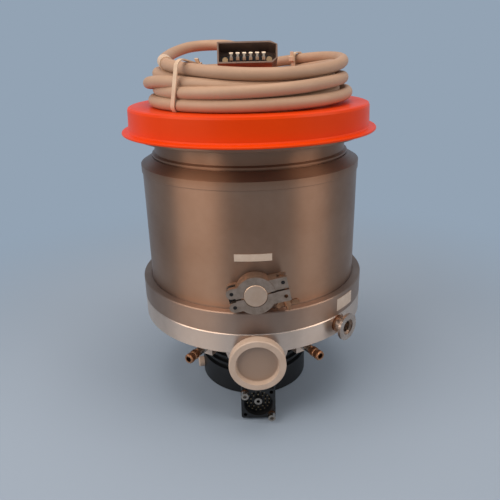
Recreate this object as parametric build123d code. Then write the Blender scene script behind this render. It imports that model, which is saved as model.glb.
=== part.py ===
from build123d import *
from math import cos, degrees, radians, sin, sqrt, tan
import os

os.makedirs("parts", exist_ok=True)

# Turbomolecular pump, millimetres. The pump stands upright on its motor housing:
# origin on the table at the pump axis, +Z up, exhaust port, vent port and socket towards -Y.
# Azimuths run from the front (-Y) towards +X, in degrees.

# ---- driving sizes: heights above the table --------------------------------------------
HOUSING_H = 98.5          # motor housing, table to the underside of the base flange
BASE_T = 23.0             # base flange thickness
RING_T = 24.5             # lower ring of the envelope
TUBE_TOP = 270.4          # top of the envelope's plain tube
BAND_T = 8.7              # raised band above the tube
CONE_H = 10.6             # shoulder between band and neck
NECK_H = 17.7             # neck between shoulder and inlet flange
CF_T = 24.6               # inlet flange thickness

# ---- driving sizes: radii --------------------------------------------------------------
HOUSING_R = 66.5
BASE_R = 131.8
RING_R = 131.8
TUBE_R = 121.9
BAND_STEP = 1.0           # band proud of the tube
NECK_R = 106.9
CF_R = 126.5
CF_PCD_R = 115.9
CF_HOLES = 24
CF_HOLE_R = 4.2
INLET_R = 100.0
WALL = 6.9                # envelope tube wall

# ---- clearances ------------------------------------------------------------------------
FIT = 0.1                 # loose location between stacked parts
BALL_FIT = 0.08           # ball to raceway
BLADE_GAP = 2.0           # rotor to stator, along and across

# ---- derived heights -------------------------------------------------------------------
BASE_TOP = HOUSING_H + BASE_T
RING_TOP = BASE_TOP + RING_T
BAND_TOP = TUBE_TOP + BAND_T
CONE_TOP = BAND_TOP + CONE_H
CF_BOT = CONE_TOP + NECK_H
CF_TOP = CF_BOT + CF_T
BORE_R = TUBE_R - WALL    # inside of the envelope tube
BAND_R = TUBE_R + BAND_STEP

# ---- turbine ---------------------------------------------------------------------------
STAGES = 5
ROTOR_T = 10.0
STATOR_T = 6.0
PITCH = ROTOR_T + STATOR_T + 2 * BLADE_GAP
STACK_R = BORE_R - FIT            # outside of spacers and stator rings
SPACER_IN = STACK_R - 5.4
TIP_R = SPACER_IN - BLADE_GAP
HUB_R = 62.0
STATOR_IN = HUB_R + BLADE_GAP
STACK_TOP = TUBE_TOP - 1.4        # shoulder that the stack is clamped against
ROTOR_BLADES = 24
STATOR_BLADES = 20
ROTOR_TILT = 50.0
STATOR_TILT = 52.0
BLADE = 2.0
STACK_BOT = STACK_TOP - STAGES * PITCH    # top of the drag stage sleeve

# ---- drag stage, hub tower, shaft and bearings -------------------------------------------
DRAG_DEPTH = 14.5         # envelope bore to the spinning sleeve
SLEEVE_R = BORE_R - DRAG_DEPTH
SLEEVE_T = 4.5
SLEEVE_GAP = 1.0
WEB_T = 6.0
BELL_R = 50.0
TOWER_R = 44.0
SKIRT_R = 48.0
MOTOR_R = 40.0
SKIRT_BOT = 60.0
TOWER_TOP = BASE_TOP + 46.5
SHAFT_R = 12.0
SHAFT_BODY_R = 13.0
RACE_R = 26.0
RACE_W = 15.0
BALL_R = 3.6
BALL_PITCH_R = 19.0
BALLS = 8
UPPER_BEARING = TOWER_TOP - 12.5          # centre heights
LOWER_BEARING = SKIRT_BOT - 13.5

# ---- side ports --------------------------------------------------------------------------
EXHAUST_X = 2.8
EXHAUST_Z = HOUSING_H - 3.5
EXHAUST_FACE = 143.0
BOSS_R = 34.0
BOSS_FRONT = 112.0
KF40_R, KF40_BORE, KF40_TUBE = 27.5, 20.5, 22.5
CAP40_R = 29.4
VENT_AZ = 1.0
VENT_Z = RING_TOP + 24.0
VENT_FACE = TUBE_R + 10.1
KF16_R, KF16_BORE, KF16_TUBE = 15.0, 8.0, 10.0
RIM = 3.0                 # straight rim of a small flange, before its 15 degree back
SEAL_GAP = 4.0            # face to face in a closed small-flange joint
PURGE_AZ = 45.0
PURGE_Z = BASE_TOP - 10.5
PURGE_FACE = 145.0
PURGE_FLAT = BASE_R - 1.3
WATER_AZ = 31.0
WATER_Z = HOUSING_H - 13.5
WATER_END = 138.0
SIDE_AZ = -77.0
SIDE_Z = 16.0

# ---- electrical socket ---------------------------------------------------------------------
SOCKET_X = 3.2
SOCKET_Z = 22.8
SOCKET_W = 38.6
SOCKET_FRONT = 115.0
SOCKET_BACK = 57.0
SOCKET_BORE = 16.3
SOCKET_SCREW = 14.8

# ---- clamp on the vent port ----------------------------------------------------------------
CLAMP_TILT = 12.0
CLAMP_R = 20.0
CLAMP_W = 15.0
CLAMP_LIP = 12.1
CLAMP_SPLIT = 1.8
HINGE_X, HINGE_Y = -22.6, 7.5
BOLT_X, BOLT_Y = 29.0, 7.6
LUG_BOTTOM = 13.0
NUT_SLACK = 0.2

# ---- protective cap and cable --------------------------------------------------------------
CAP_RIB = 5.9             # rib that stands on the flange face
CAP_WALL = 2.5
CAP_TOP = CF_TOP + CAP_RIB + CAP_WALL
CAP_SKIRT = 27.8
CAP_R = 132.0
CAP_LIP_R = 140.2
CABLE_R = 6.0
COIL_OUT = 110.0
COIL_IN = 78.0
COIL_H = 40.0
HOOD_W, HOOD_H, HOOD_L = 56.0, 20.0, 28.0
HOOD_TILT = 20.0
PLUG_SCREWS = (-21.0, 20.4)

LOW = (Align.CENTER, Align.CENTER, Align.MIN)


def turned(points):
    """Solid of revolution about Z from (radius, height) corners."""
    corners = [(r, 0, z) for r, z in points]
    return revolve(make_face(Polyline(*corners, close=True)), Axis.Z, 360)


def rod(r, z0, z1):
    """Round bar on the Z axis between two heights."""
    return Pos(0, 0, z0) * Cylinder(r, z1 - z0, align=LOW)


def pipe(r_out, r_in, z0, z1):
    """Ring on the Z axis between two heights."""
    return turned([(r_in, z0), (r_out, z0), (r_out, z1), (r_in, z1)])


def radial(az, z, x=0.0):
    """Frame whose +Z points outward at an azimuth, so its Z is the distance from the axis."""
    return Rot(0, 0, az) * Pos(x, 0, z) * Rot(90, 0, 0)


def round_about(n, r, start=0.0):
    """Places spaced evenly on a circle about Z."""
    return [Rot(0, 0, start + 360.0 * i / n) * Pos(r, 0, 0) for i in range(n)]


def as_list(shape):
    """The separate solids of a shape."""
    return list(shape.solids())


def save(name, pieces):
    """Write one node, with every closed solid of it."""
    pieces = pieces if isinstance(pieces, list) else [pieces]
    solids = [s for p in pieces for s in as_list(p)]
    shape = solids[0] if len(solids) == 1 else Compound(children=solids)
    export_step(shape, f"parts/{name}.step")
    print(name, len(solids), "solid(s)")


# ---- vacuum envelope -------------------------------------------------------------------------
def inlet_holes(r, z0, z1):
    """Tools for the inlet flange's bolt circle."""
    return [p * rod(r, z0, z1) for p in round_about(CF_HOLES, CF_PCD_R, 7.5)]


def envelope():
    """Inlet flange, neck, shoulder, tube and lower ring: one welded and turned piece."""
    step = 1.2
    seat = 3.3                       # gasket recess
    profile = [
        (BORE_R, BASE_TOP), (RING_R - 0.8, BASE_TOP), (RING_R, BASE_TOP + 0.8),
        (RING_R, RING_TOP - 1.0), (RING_R - 1.0, RING_TOP), (TUBE_R + step, RING_TOP),
        (TUBE_R + step, RING_TOP - step), (TUBE_R, RING_TOP - step), (TUBE_R, TUBE_TOP),
        (BAND_R, TUBE_TOP + 0.6), (BAND_R, BAND_TOP), (NECK_R + 3.4, CONE_TOP - 3.2),
        (NECK_R + 1.2, CONE_TOP - 3.2), (NECK_R + 1.2, CONE_TOP - 1.8),
        (NECK_R + 3.0, CONE_TOP - 1.8), (NECK_R + 3.0, CONE_TOP), (NECK_R, CONE_TOP + 1.6),
        (NECK_R, CF_BOT), (CF_R - 1.0, CF_BOT), (CF_R, CF_BOT + 1.0), (CF_R, CF_TOP - 1.0),
        (CF_R - 1.0, CF_TOP), (CF_PCD_R - 5.2, CF_TOP), (CF_PCD_R - 5.2, CF_TOP - seat),
        (INLET_R + 7.0, CF_TOP - seat), (INLET_R + 6.0, CF_TOP - seat + 1.4),
        (INLET_R + 4.6, CF_TOP - seat), (INLET_R, CF_TOP - seat), (INLET_R, STACK_TOP + 15.0),
        (BORE_R - 5.0, STACK_TOP), (BORE_R, STACK_TOP),
    ]
    body = turned(profile)
    cuts = inlet_holes(CF_HOLE_R, CF_BOT - 1, CF_TOP + 1)
    cuts += [p * rod(3.0, BASE_TOP - 1, BASE_TOP + 13.0) for p in envelope_screw_places()]
    cuts.append(radial(VENT_AZ, VENT_Z) * rod(KF16_TUBE, BORE_R - 5.0, TUBE_R + 3.0))
    return body - cuts


def envelope_screw_places():
    """Eight screws join the base flange to the envelope, clear of the side ports."""
    return round_about(8, RING_R - 5.4, 22.5)


def envelope_screws():
    """Socket screws driven up from under the base flange."""
    one = rod(5.0, HOUSING_H + 0.6, HOUSING_H + 6.6) + rod(3.0, HOUSING_H + 6.6, BASE_TOP + 12.0)
    one -= Pos(0, 0, HOUSING_H + 0.6) * extrude(RegularPolygon(2.9, 6), 3.0)
    return [p * one for p in envelope_screw_places()]


def inlet_screen():
    """Splinter screen: a rim sprung into the inlet bore, with crossing bars."""
    z0, thick, rim = CF_BOT - 2.0, 1.4, 5.0
    bars = 9
    disc = pipe(INLET_R, INLET_R - rim, z0, z0 + thick)
    reach = INLET_R - rim
    made = []
    for i in range(bars):
        at = reach * (2.0 * (i + 0.5) / bars - 1.0)
        run = 2.0 * sqrt(reach * reach - at * at) + rim
        made.append(Pos(at, 0, z0) * Box(1.6, run, thick, align=LOW))
        made.append(Pos(0, at, z0) * Box(run, 1.6, thick, align=LOW))
    return disc + made


# ---- base flange ------------------------------------------------------------------------------
def base_flange():
    """Aluminium lower housing: flange disc, hub tower, motor skirt, exhaust boss, water lugs."""
    groove = 2.6
    g0, g1 = RING_R - 14.3, RING_R - 10.3
    profile = [
        (MOTOR_R, SKIRT_BOT), (SKIRT_R, SKIRT_BOT), (SKIRT_R, HOUSING_H), (BASE_R - 0.8, HOUSING_H),
        (BASE_R, HOUSING_H + 0.8), (BASE_R, BASE_TOP - 1.0), (BASE_R - 1.0, BASE_TOP),
        (g1, BASE_TOP), (g1, BASE_TOP - groove), (g0, BASE_TOP - groove), (g0, BASE_TOP),
        (TOWER_R, BASE_TOP), (TOWER_R, TOWER_TOP), (RACE_R, TOWER_TOP),
        (RACE_R, UPPER_BEARING - RACE_W / 2), (22.0, UPPER_BEARING - RACE_W / 2),
        (22.0, BASE_TOP + 12.5), (MOTOR_R, BASE_TOP + 12.5),
    ]
    body = turned(profile)
    front = radial(0, EXHAUST_Z, EXHAUST_X)
    boss = front * rod(BOSS_R, HOUSING_R + 0.8, BOSS_FRONT)
    boss -= Pos(0, 0, BASE_TOP - 1.0) * Box(400, 400, 100, align=LOW)
    lug_low = WATER_Z - 9.0
    lugs = [
        Rot(0, 0, az) * Pos(0, -98.0, lug_low) * Box(20.0, 20.0, HOUSING_H - lug_low + 2, align=LOW)
        for az in (-WATER_AZ, WATER_AZ)
    ]
    body = body + ([boss] + lugs)
    cuts = [
        front * rod(KF40_TUBE, BOSS_FRONT - 20.0, BASE_R + 5.0),
        front * rod(18.0, HOUSING_R + 9.0, BOSS_FRONT - 19.0),
        Pos(EXHAUST_X, -(BOSS_FRONT - 26.0), EXHAUST_Z) * rod(8.0, 0, BASE_TOP - EXHAUST_Z + 2.0),
        radial(PURGE_AZ, PURGE_Z) * (Pos(0, 0, PURGE_FLAT) * Box(60, 60, 20, align=LOW)
                                     & rod(11.0, PURGE_FLAT, BASE_R + 5.0)),
        radial(PURGE_AZ, PURGE_Z) * rod(7.5, PURGE_FLAT - 14.0, BASE_R + 5.0),
    ]
    for az in (-WATER_AZ, WATER_AZ):
        cuts.append(radial(az, WATER_Z) * rod(4.2, 92.0, 115.0))
    for p in envelope_screw_places():
        cuts.append(p * rod(3.2, HOUSING_H - 1, BASE_TOP + 1))
        cuts.append(p * rod(5.4, HOUSING_H - 1, HOUSING_H + 6.6))
    cuts += [p * rod(2.0, HOUSING_H - 1, HOUSING_H + 14.0) for p in housing_screw_places()]
    cuts += [p * rod(2.0, SKIRT_BOT - 1, SKIRT_BOT + 12.0) for p in plate_screw_places()]
    return body - cuts


def base_oring():
    """Seal between envelope and base flange, nipped in its groove."""
    return Pos(0, 0, BASE_TOP - 1.3) * Torus(RING_R - 12.3, 1.3)


# ---- turbine stack ----------------------------------------------------------------------------
def blades(n, r0, r1, z, height, tilt, start=0.0):
    """Flat blades set on a slant about their own radial lines."""
    a = radians(abs(tilt))
    chord = (height - BLADE * sin(a)) / cos(a)
    one = Rot(0, 0, tilt) * Box(BLADE, chord, r1 - r0, align=LOW)
    return [radial(start + 360.0 * i / n, z) * Pos(0, 0, r0) * one for i in range(n)]


def rotor_heights():
    """Centre heights of the rotor stages, from the inlet down."""
    return [STACK_TOP - BLADE_GAP - ROTOR_T / 2 - PITCH * i for i in range(STAGES)]


def stator_heights():
    """Centre heights of the stator stages, from the inlet down."""
    return [STACK_TOP - PITCH + STATOR_T / 2 - PITCH * i for i in range(STAGES)]


def rotor_turbine():
    """One-piece bladed rotor with its drag sleeve, bored for the shaft."""
    top = rotor_heights()[0] + ROTOR_T / 2
    web_top = STACK_BOT - 5.0
    web_bot = web_top - WEB_T
    sink = top - 15.0
    profile = [
        (BELL_R, web_bot), (SLEEVE_R - SLEEVE_T, web_bot), (SLEEVE_R - SLEEVE_T, BASE_TOP + 6.5),
        (SLEEVE_R, BASE_TOP + 6.5), (SLEEVE_R, web_top), (HUB_R, web_top), (HUB_R, top - 1.5),
        (HUB_R - 1.5, top), (25.5, top), (24.0, top - 1.5), (24.0, sink), (SHAFT_R, sink),
        (SHAFT_R, hub_seat()), (BELL_R, hub_seat()),
    ]
    hub = turned(profile)
    made = []
    for k, z in enumerate(rotor_heights()):
        made += blades(ROTOR_BLADES, HUB_R - 2.0, TIP_R, z, ROTOR_T, ROTOR_TILT, 5.0 * k)
    body = hub + made
    return body - [p * rod(2.5, top - 8.0, top + 1.0) for p in round_about(12, 52.0)]


def hub_seat():
    """Height at which the rotor hub stands on the shaft's flange."""
    return TOWER_TOP + 32.0


def stator_discs():
    """Split stator discs, two half rings for each stage."""
    h = STATOR_T / 2
    outer = pipe(STACK_R, SPACER_IN, -h, h)
    inner = pipe(STATOR_IN + 2.5, STATOR_IN, -h, h)
    vanes = blades(STATOR_BLADES, STATOR_IN + 1.5, SPACER_IN + 1.5, 0.0, STATOR_T, -STATOR_TILT, 9.0)
    disc = outer + ([inner] + vanes)
    disc -= Box(2 * STACK_R + 5, 0.3, STATOR_T + 2)
    return [Pos(0, 0, z) * s for z in stator_heights() for s in as_list(disc)]


def spacer_rings():
    """Rings that set the spacing of the stator discs."""
    height = PITCH - STATOR_T
    one = pipe(STACK_R, SPACER_IN, 0, height)
    return [Pos(0, 0, z + STATOR_T / 2) * one for z in stator_heights()]


def drag_stator():
    """Sleeve of the drag stage, with shallow pumping channels in its bore."""
    inside = SLEEVE_R + SLEEVE_GAP
    body = pipe(STACK_R, inside, BASE_TOP, STACK_BOT)
    cut = [
        Rot(0, 0, 45.0 * i) * Pos(inside, 0, BASE_TOP + 5.0)
        * Box(6.0, 9.0, STACK_BOT - BASE_TOP - 10.0, align=LOW) for i in range(8)
    ]
    return body - cut


# ---- shaft, motor and bearings -----------------------------------------------------------------
def shaft():
    """Rotor shaft, shouldered for both bearings and flanged under the rotor hub."""
    up, low = UPPER_BEARING - RACE_W / 2, LOWER_BEARING + RACE_W / 2
    seat = hub_seat()
    top = rotor_heights()[0] + ROTOR_T / 2 - 15.0
    body = turned([
        (0, 24.0), (SHAFT_R - 1, 24.0), (SHAFT_R, 25.0), (SHAFT_R, low), (SHAFT_BODY_R, low),
        (SHAFT_BODY_R, up), (SHAFT_R, up), (SHAFT_R, seat - 8.0), (24.0, seat - 8.0),
        (24.0, seat), (SHAFT_R, seat), (SHAFT_R, top - 0.3), (0, top - 0.3),
    ])
    return body - rod(5.0, top - 30.0, top + 1.0)


def rotor_screw():
    """Flanged centre screw that clamps the rotor to the shaft."""
    z = rotor_heights()[0] + ROTOR_T / 2 - 15.0
    body = rod(5.0, z - 26.0, z + 4.0) + rod(20.0, z, z + 4.0) + rod(8.5, z + 4.0, z + 13.0)
    return body - Pos(0, 0, z + 8.0) * extrude(RegularPolygon(4.6, 6), 6.0)


def inner_race(z):
    """Inner bearing ring on the shaft."""
    w, r = RACE_W / 2, BALL_PITCH_R - BALL_R - BALL_FIT
    land = BALL_PITCH_R - 2.5
    return turned([(SHAFT_R, z - w), (land, z - w), (land, z - 3.0), (r, z - 1.8), (r, z + 1.8),
                   (land, z + 3.0), (land, z + w), (SHAFT_R, z + w)])


def outer_race(z):
    """Outer bearing ring in its housing."""
    w, r = RACE_W / 2, BALL_PITCH_R + BALL_R + BALL_FIT
    land = BALL_PITCH_R + 2.5
    return turned([(RACE_R, z - w), (land, z - w), (land, z - 3.0), (r, z - 1.8), (r, z + 1.8),
                   (land, z + 3.0), (land, z + w), (RACE_R, z + w)])


def balls(z):
    """Ceramic balls of one bearing."""
    return [p * Pos(0, 0, z) * Sphere(BALL_R) for p in round_about(BALLS, BALL_PITCH_R)]


def cage(z):
    """Cage ring that keeps the balls apart."""
    ring = pipe(BALL_PITCH_R + 1.8, BALL_PITCH_R - 1.8, z - 5.0, z + 5.0)
    holes = [p * Pos(0, 0, z) * Rot(0, 90, 0) * Cylinder(BALL_R + 0.05, 8.0)
             for p in round_about(BALLS, BALL_PITCH_R)]
    return ring - holes


def plate_screw_places():
    """Four screws hold the lower bearing plate to the motor skirt."""
    return round_about(4, (MOTOR_R + SKIRT_R) / 2, 45.0)


def bearing_plate():
    """Plate under the motor that seats the lower bearing."""
    low = LOWER_BEARING - RACE_W / 2 - 5.0
    shoulder = LOWER_BEARING + RACE_W / 2
    body = turned([(RACE_R, low), (SKIRT_R, low), (SKIRT_R, SKIRT_BOT), (20.0, SKIRT_BOT),
                   (20.0, shoulder), (RACE_R, shoulder)])
    return body - [p * rod(2.2, low - 1, SKIRT_BOT + 1) for p in plate_screw_places()]


def plate_screws():
    """Cap screws for the lower bearing plate."""
    low = LOWER_BEARING - RACE_W / 2 - 5.0
    one = rod(3.5, low - 4.0, low) + rod(2.0, low, SKIRT_BOT + 11.0)
    return [p * one for p in plate_screw_places()]


def shaft_nut():
    """Nut that clamps the lower inner race."""
    top = LOWER_BEARING - RACE_W / 2
    return pipe(17.0, SHAFT_R, top - 8.0, top)


def motor_core():
    """Laminated motor stator with six teeth."""
    z0, z1 = HOUSING_H - 18.5, BASE_TOP + 0.5
    ring = pipe(MOTOR_R, 29.0, z0, z1)
    teeth = [Rot(0, 0, 60.0 * i) * Pos(25.0, 0, z0) * Box(10.0, 11.0, z1 - z0, align=LOW)
             for i in range(6)]
    core = ring + teeth
    return core - rod(20.2, z0 - 1, z1 + 1)


def motor_windings():
    """End turns of the winding above and below the core."""
    z0, z1 = HOUSING_H - 18.5, BASE_TOP + 0.5
    return [pipe(38.0, 26.0, z0 - 10.0, z0), pipe(38.0, 26.0, z1, z1 + 9.5)]


def motor_magnet():
    """Magnet sleeve on the shaft."""
    return pipe(19.0, SHAFT_BODY_R, HOUSING_H - 18.5, BASE_TOP + 0.5)


# ---- motor housing ----------------------------------------------------------------------------
def housing_screw_places():
    """Four long screws through the housing wall into the base flange."""
    return round_about(4, HOUSING_R - 8.7, 45.0)


def motor_housing():
    """Black finned cup round the motor: the pump stands on its floor."""
    inside, root, floor = HOUSING_R - 12.5, HOUSING_R - 5.0, 5.0
    fin, step, first = 3.0, 9.0, 36.5
    points = [(0, 0), (HOUSING_R - 1.5, 0), (HOUSING_R, 1.5), (HOUSING_R, first - fin - 3.2)]
    z = first - fin - 3.2
    top = first
    while top + fin < HOUSING_H - 4.0:
        points += [(root, z), (root, top), (HOUSING_R, top), (HOUSING_R, top + fin)]
        z, top = top + fin, top + step
    points += [(root, z), (root, HOUSING_H), (inside, HOUSING_H), (inside, floor), (0, floor)]
    body = turned(points)
    cuts = [socket_outline(0.0)]
    for p in housing_screw_places():
        cuts.append(p * rod(2.2, -1, HOUSING_H + 1))
        cuts.append(p * rod(3.7, -1, 5.0))
    cuts.append(radial(SIDE_AZ, SIDE_Z) * rod(3.5, HOUSING_R - 9.0, HOUSING_R + 5.0))
    return body - cuts


def housing_screws():
    """Long socket screws, heads sunk in the housing floor."""
    one = rod(3.5, 0.6, 5.0) + rod(2.0, 5.0, HOUSING_H + 13.0)
    return [p * one for p in housing_screw_places()]


# ---- electrical socket ----------------------------------------------------------------------------
def socket_outline(grow):
    """Square bar of the socket block with rounded long edges."""
    w = SOCKET_W + 2 * grow
    bar = extrude(RectangleRounded(w, w, 3.0), SOCKET_FRONT - SOCKET_BACK)
    return radial(0, SOCKET_Z, SOCKET_X) * Pos(0, 0, SOCKET_BACK) * bar


def socket_frame():
    """Frame on the socket axis, with Z the distance from the pump axis."""
    return radial(0, SOCKET_Z, SOCKET_X)


def socket_block():
    """Connector block let into the housing wall."""
    at = socket_frame()
    cuts = [at * rod(14.0, SOCKET_BACK - 1, SOCKET_FRONT + 1),
            at * rod(SOCKET_BORE, SOCKET_FRONT - 21.0, SOCKET_FRONT + 1)]
    for x in (-SOCKET_SCREW, SOCKET_SCREW):
        for y in (-SOCKET_SCREW, SOCKET_SCREW):
            cuts.append(at * Pos(x, y, 0) * rod(2.2, SOCKET_FRONT - 20.0, SOCKET_FRONT + 1))
    return socket_outline(0.0) - cuts


def pin_places():
    """Contacts on two circles round the centre post."""
    return round_about(10, 8.6, 18.0) + round_about(16, 12.6, 11.25)


def socket_insert():
    """Insulating disc that carries the contacts."""
    z1 = SOCKET_FRONT - 9.0
    body = rod(SOCKET_BORE, z1 - 12.0, z1)
    cuts = [rod(4.4, z1 - 8.0, z1 + 1)] + [p * rod(0.8, z1 - 6.0, z1 + 1) for p in pin_places()]
    return socket_frame() * (body - cuts)


def socket_pins():
    """Contact pins standing from the insert."""
    z1 = SOCKET_FRONT - 9.0
    return [socket_frame() * p * rod(0.8, z1 - 6.0, z1 + 4.0) for p in pin_places()]


def socket_post():
    """Hollow threaded post in the middle of the socket."""
    z1 = SOCKET_FRONT - 9.0
    return socket_frame() * pipe(4.4, 2.0, z1 - 8.0, z1 + 5.5)


def socket_screw_places():
    """The two corners that hold a screw."""
    return [Pos(-SOCKET_SCREW, SOCKET_SCREW, 0), Pos(SOCKET_SCREW, -SOCKET_SCREW, 0)]


def socket_washers():
    """Brass collars under the socket's screws."""
    return [socket_frame() * p * pipe(4.2, 2.2, SOCKET_FRONT, SOCKET_FRONT + 2.5)
            for p in socket_screw_places()]


def socket_screws():
    """Hex socket screws of the connector block."""
    z = SOCKET_FRONT + 2.5
    one = rod(2.2, SOCKET_FRONT - 18.0, z) + rod(4.2, z, z + 5.0)
    one -= Pos(0, 0, z + 2.0) * extrude(RegularPolygon(2.3, 6), 4.0)
    return [socket_frame() * p * one for p in socket_screw_places()]


# ---- exhaust port -----------------------------------------------------------------------------------
def exhaust_port():
    """Small flange of 40 mm bore on a spigot pressed into the boss."""
    f = EXHAUST_FACE
    slope = (KF40_R - KF40_TUBE) * tan(radians(15))
    lead = 0.6
    tube = turned([
        (KF40_BORE, BOSS_FRONT - 20.0), (KF40_TUBE, BOSS_FRONT - 20.0),
        (KF40_TUBE, f - RIM - slope), (KF40_R, f - RIM), (KF40_R, f), (KF40_BORE + lead, f),
        (KF40_BORE, f - lead),
    ])
    return radial(0, EXHAUST_Z, EXHAUST_X) * tube


def exhaust_cap():
    """Push-on plastic cap with a sunk middle."""
    f = EXHAUST_FACE
    cap = turned([
        (0, f), (KF40_R + 0.05, f), (KF40_R + 0.05, f - RIM), (CAP40_R, f - RIM),
        (CAP40_R, f + 6.0), (CAP40_R - 1.0, f + 7.0), (22.6, f + 7.0), (21.6, f + 1.6), (0, f + 1.6),
    ])
    return radial(0, EXHAUST_Z, EXHAUST_X) * cap


# ---- vent port, its blank and its clamp ---------------------------------------------------------------
def vent_frame():
    """Frame on the vent axis, with Z the distance from the pump axis."""
    return radial(VENT_AZ, VENT_Z)


def vent_port():
    """Small flange of 16 mm bore welded into the envelope wall."""
    f = VENT_FACE
    slope = (KF16_R - KF16_TUBE) * tan(radians(15))
    tube = turned([
        (KF16_BORE, BORE_R + 0.6), (KF16_TUBE, BORE_R + 0.6), (KF16_TUBE, f - RIM - slope),
        (KF16_R, f - RIM), (KF16_R, f), (8.6, f), (8.6, f - 2.6), (KF16_BORE, f - 2.6),
    ])
    return vent_frame() * tube


def vent_centring_ring():
    """Centring ring between port and blank."""
    f, g = VENT_FACE, VENT_FACE + SEAL_GAP
    ring = turned([(7.6, f - 2.4), (8.55, f - 2.4), (8.55, f + 0.5), (9.3, f + 0.5),
                   (9.3, g - 0.5), (8.55, g - 0.5), (8.55, g + 2.4), (7.6, g + 2.4)])
    return vent_frame() * ring


def vent_oring():
    """O-ring carried by the centring ring."""
    return vent_frame() * Pos(0, 0, VENT_FACE + SEAL_GAP / 2) * Torus(11.3, SEAL_GAP / 2)


def vent_blank():
    """Blank that closes the vent port."""
    g = VENT_FACE + SEAL_GAP
    disc = turned([(0, g + 2.6), (8.6, g + 2.6), (8.6, g), (KF16_R, g), (KF16_R, g + RIM),
                   (CLAMP_LIP - 0.3, g + RIM + 0.85), (CLAMP_LIP - 0.3, g + RIM + 2.2),
                   (CLAMP_LIP - 0.9, g + RIM + 2.8), (0, g + RIM + 2.8)])
    return vent_frame() * disc


def clamp_frame():
    """Frame in the middle plane of the clamp, leaned with it."""
    return vent_frame() * Pos(0, 0, VENT_FACE + SEAL_GAP / 2) * Rot(0, 0, CLAMP_TILT)


def clamp_half(sign):
    """One of two like castings: half ring, hinge lug on the left, slotted lug on the right."""
    w = CLAMP_W / 2
    mouth = SEAL_GAP / 2 + RIM + (KF16_R - CLAMP_LIP) * tan(radians(15)) + 0.17
    floor_r = KF16_R + 0.4
    inner = mouth - (floor_r - CLAMP_LIP) * tan(radians(15))
    ring = turned([(CLAMP_LIP, -w), (CLAMP_R, -w), (CLAMP_R, w), (CLAMP_LIP, w),
                   (CLAMP_LIP, mouth), (floor_r, inner), (floor_r, -inner), (CLAMP_LIP, -mouth)])
    hinge = Pos(HINGE_X, HINGE_Y, 0) * Cylinder(5.4, CLAMP_W)
    hinge += Pos(HINGE_X + 4.0, HINGE_Y, 0) * Box(8.0, 10.8, CLAMP_W)
    lug_x0, lug_x1 = 13.0, BOLT_X + 4.6
    lug = Pos((lug_x0 + lug_x1) / 2, LUG_BOTTOM / 2, 0) * Box(lug_x1 - lug_x0, LUG_BOTTOM, CLAMP_W - 2)
    body = ring + [hinge, lug]
    reach = 40.0
    cuts = [
        Pos(0, -reach + CLAMP_SPLIT / 2, 0) * Box(4 * reach, 2 * reach, 2 * CLAMP_W),
        Cylinder(CLAMP_LIP, 2 * CLAMP_W),
        turned([(CLAMP_LIP - 1, -mouth), (CLAMP_LIP, -mouth), (floor_r, -inner), (floor_r, inner),
                (CLAMP_LIP, mouth), (CLAMP_LIP - 1, mouth)]),
        Pos(HINGE_X - 4.0, HINGE_Y, 0) * Box(18.4, 20.0, 5.2),
        Pos(HINGE_X, HINGE_Y, 0) * Cylinder(2.0, 2 * CLAMP_W),
        Pos(BOLT_X + 7.4, LUG_BOTTOM / 2, 0) * Box(24.6, LUG_BOTTOM + 20.0, 5.4),
        Pos(BOLT_X, BOLT_Y, 0) * Cylinder(2.0, 2 * CLAMP_W),
        # outer corner rounded about the other half's pin, so that the washer swings past it
        Pos(BOLT_X + 15.0, LUG_BOTTOM, 0) * Box(30.0, 12.0, 2 * CLAMP_W)
        - Pos(BOLT_X, -BOLT_Y, 0) * Cylinder(BOLT_Y + LUG_BOTTOM + NUT_SLACK - 0.08, 3 * CLAMP_W),
    ]
    half = body - cuts
    return clamp_frame() * (half if sign > 0 else mirror(half, Plane.XZ))


def clamp_pin():
    """Pin of the upper half that the swing bolt turns on."""
    return clamp_frame() * Pos(BOLT_X, BOLT_Y, 0) * Cylinder(1.95, CLAMP_W - 2.4)


def clamp_link():
    """Link plate with its two riveted pins, joining the halves inside their slots."""
    plate = Box(9.0, 2 * HINGE_Y, 5.0)
    for y in (-HINGE_Y, HINGE_Y):
        plate += Pos(0, y, 0) * Cylinder(4.5, 5.0)
        plate += Pos(0, y, 0) * Cylinder(1.95, CLAMP_W - 0.4)
    return clamp_frame() * Pos(HINGE_X, 0, 0) * plate


def bolt_axis():
    """Frame on the swing bolt, +Z down the bolt from its eye."""
    return clamp_frame() * Pos(BOLT_X, BOLT_Y, 0) * Rot(90, 0, 0)


def clamp_swing_bolt():
    """Eye bolt that swings out of the slotted lug."""
    end = BOLT_Y + LUG_BOTTOM + 13.0
    eye = Rot(90, 0, 0) * Cylinder(4.3, 5.0)
    body = eye + turned([(0, 0), (2.5, 0), (2.5, end - 0.8), (1.7, end), (0, end)])
    return bolt_axis() * (body - Rot(90, 0, 0) * Cylinder(2.0, 10.0))


def clamp_washer():
    """Washer between wing nut and lug."""
    z = BOLT_Y + LUG_BOTTOM + NUT_SLACK
    return bolt_axis() * pipe(5.0, 2.55, z, z + 1.2)


def clamp_wing_nut():
    """Wing nut on the swing bolt."""
    z = BOLT_Y + LUG_BOTTOM + NUT_SLACK + 1.2 + 0.05
    hub = turned([(2.55, z), (4.6, z), (4.0, z + 6.0), (2.55, z + 6.0)])
    wings = []
    for s in (-1, 1):
        wings.append(Pos(s * 6.8, 0, z + 1.2) * Box(6.4, 2.2, 4.2, align=LOW))
        wings.append(Pos(s * 9.4, 0, z + 4.6) * Rot(90, 0, 0) * Cylinder(2.6, 2.2))
    return bolt_axis() * (hub + wings)


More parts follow.
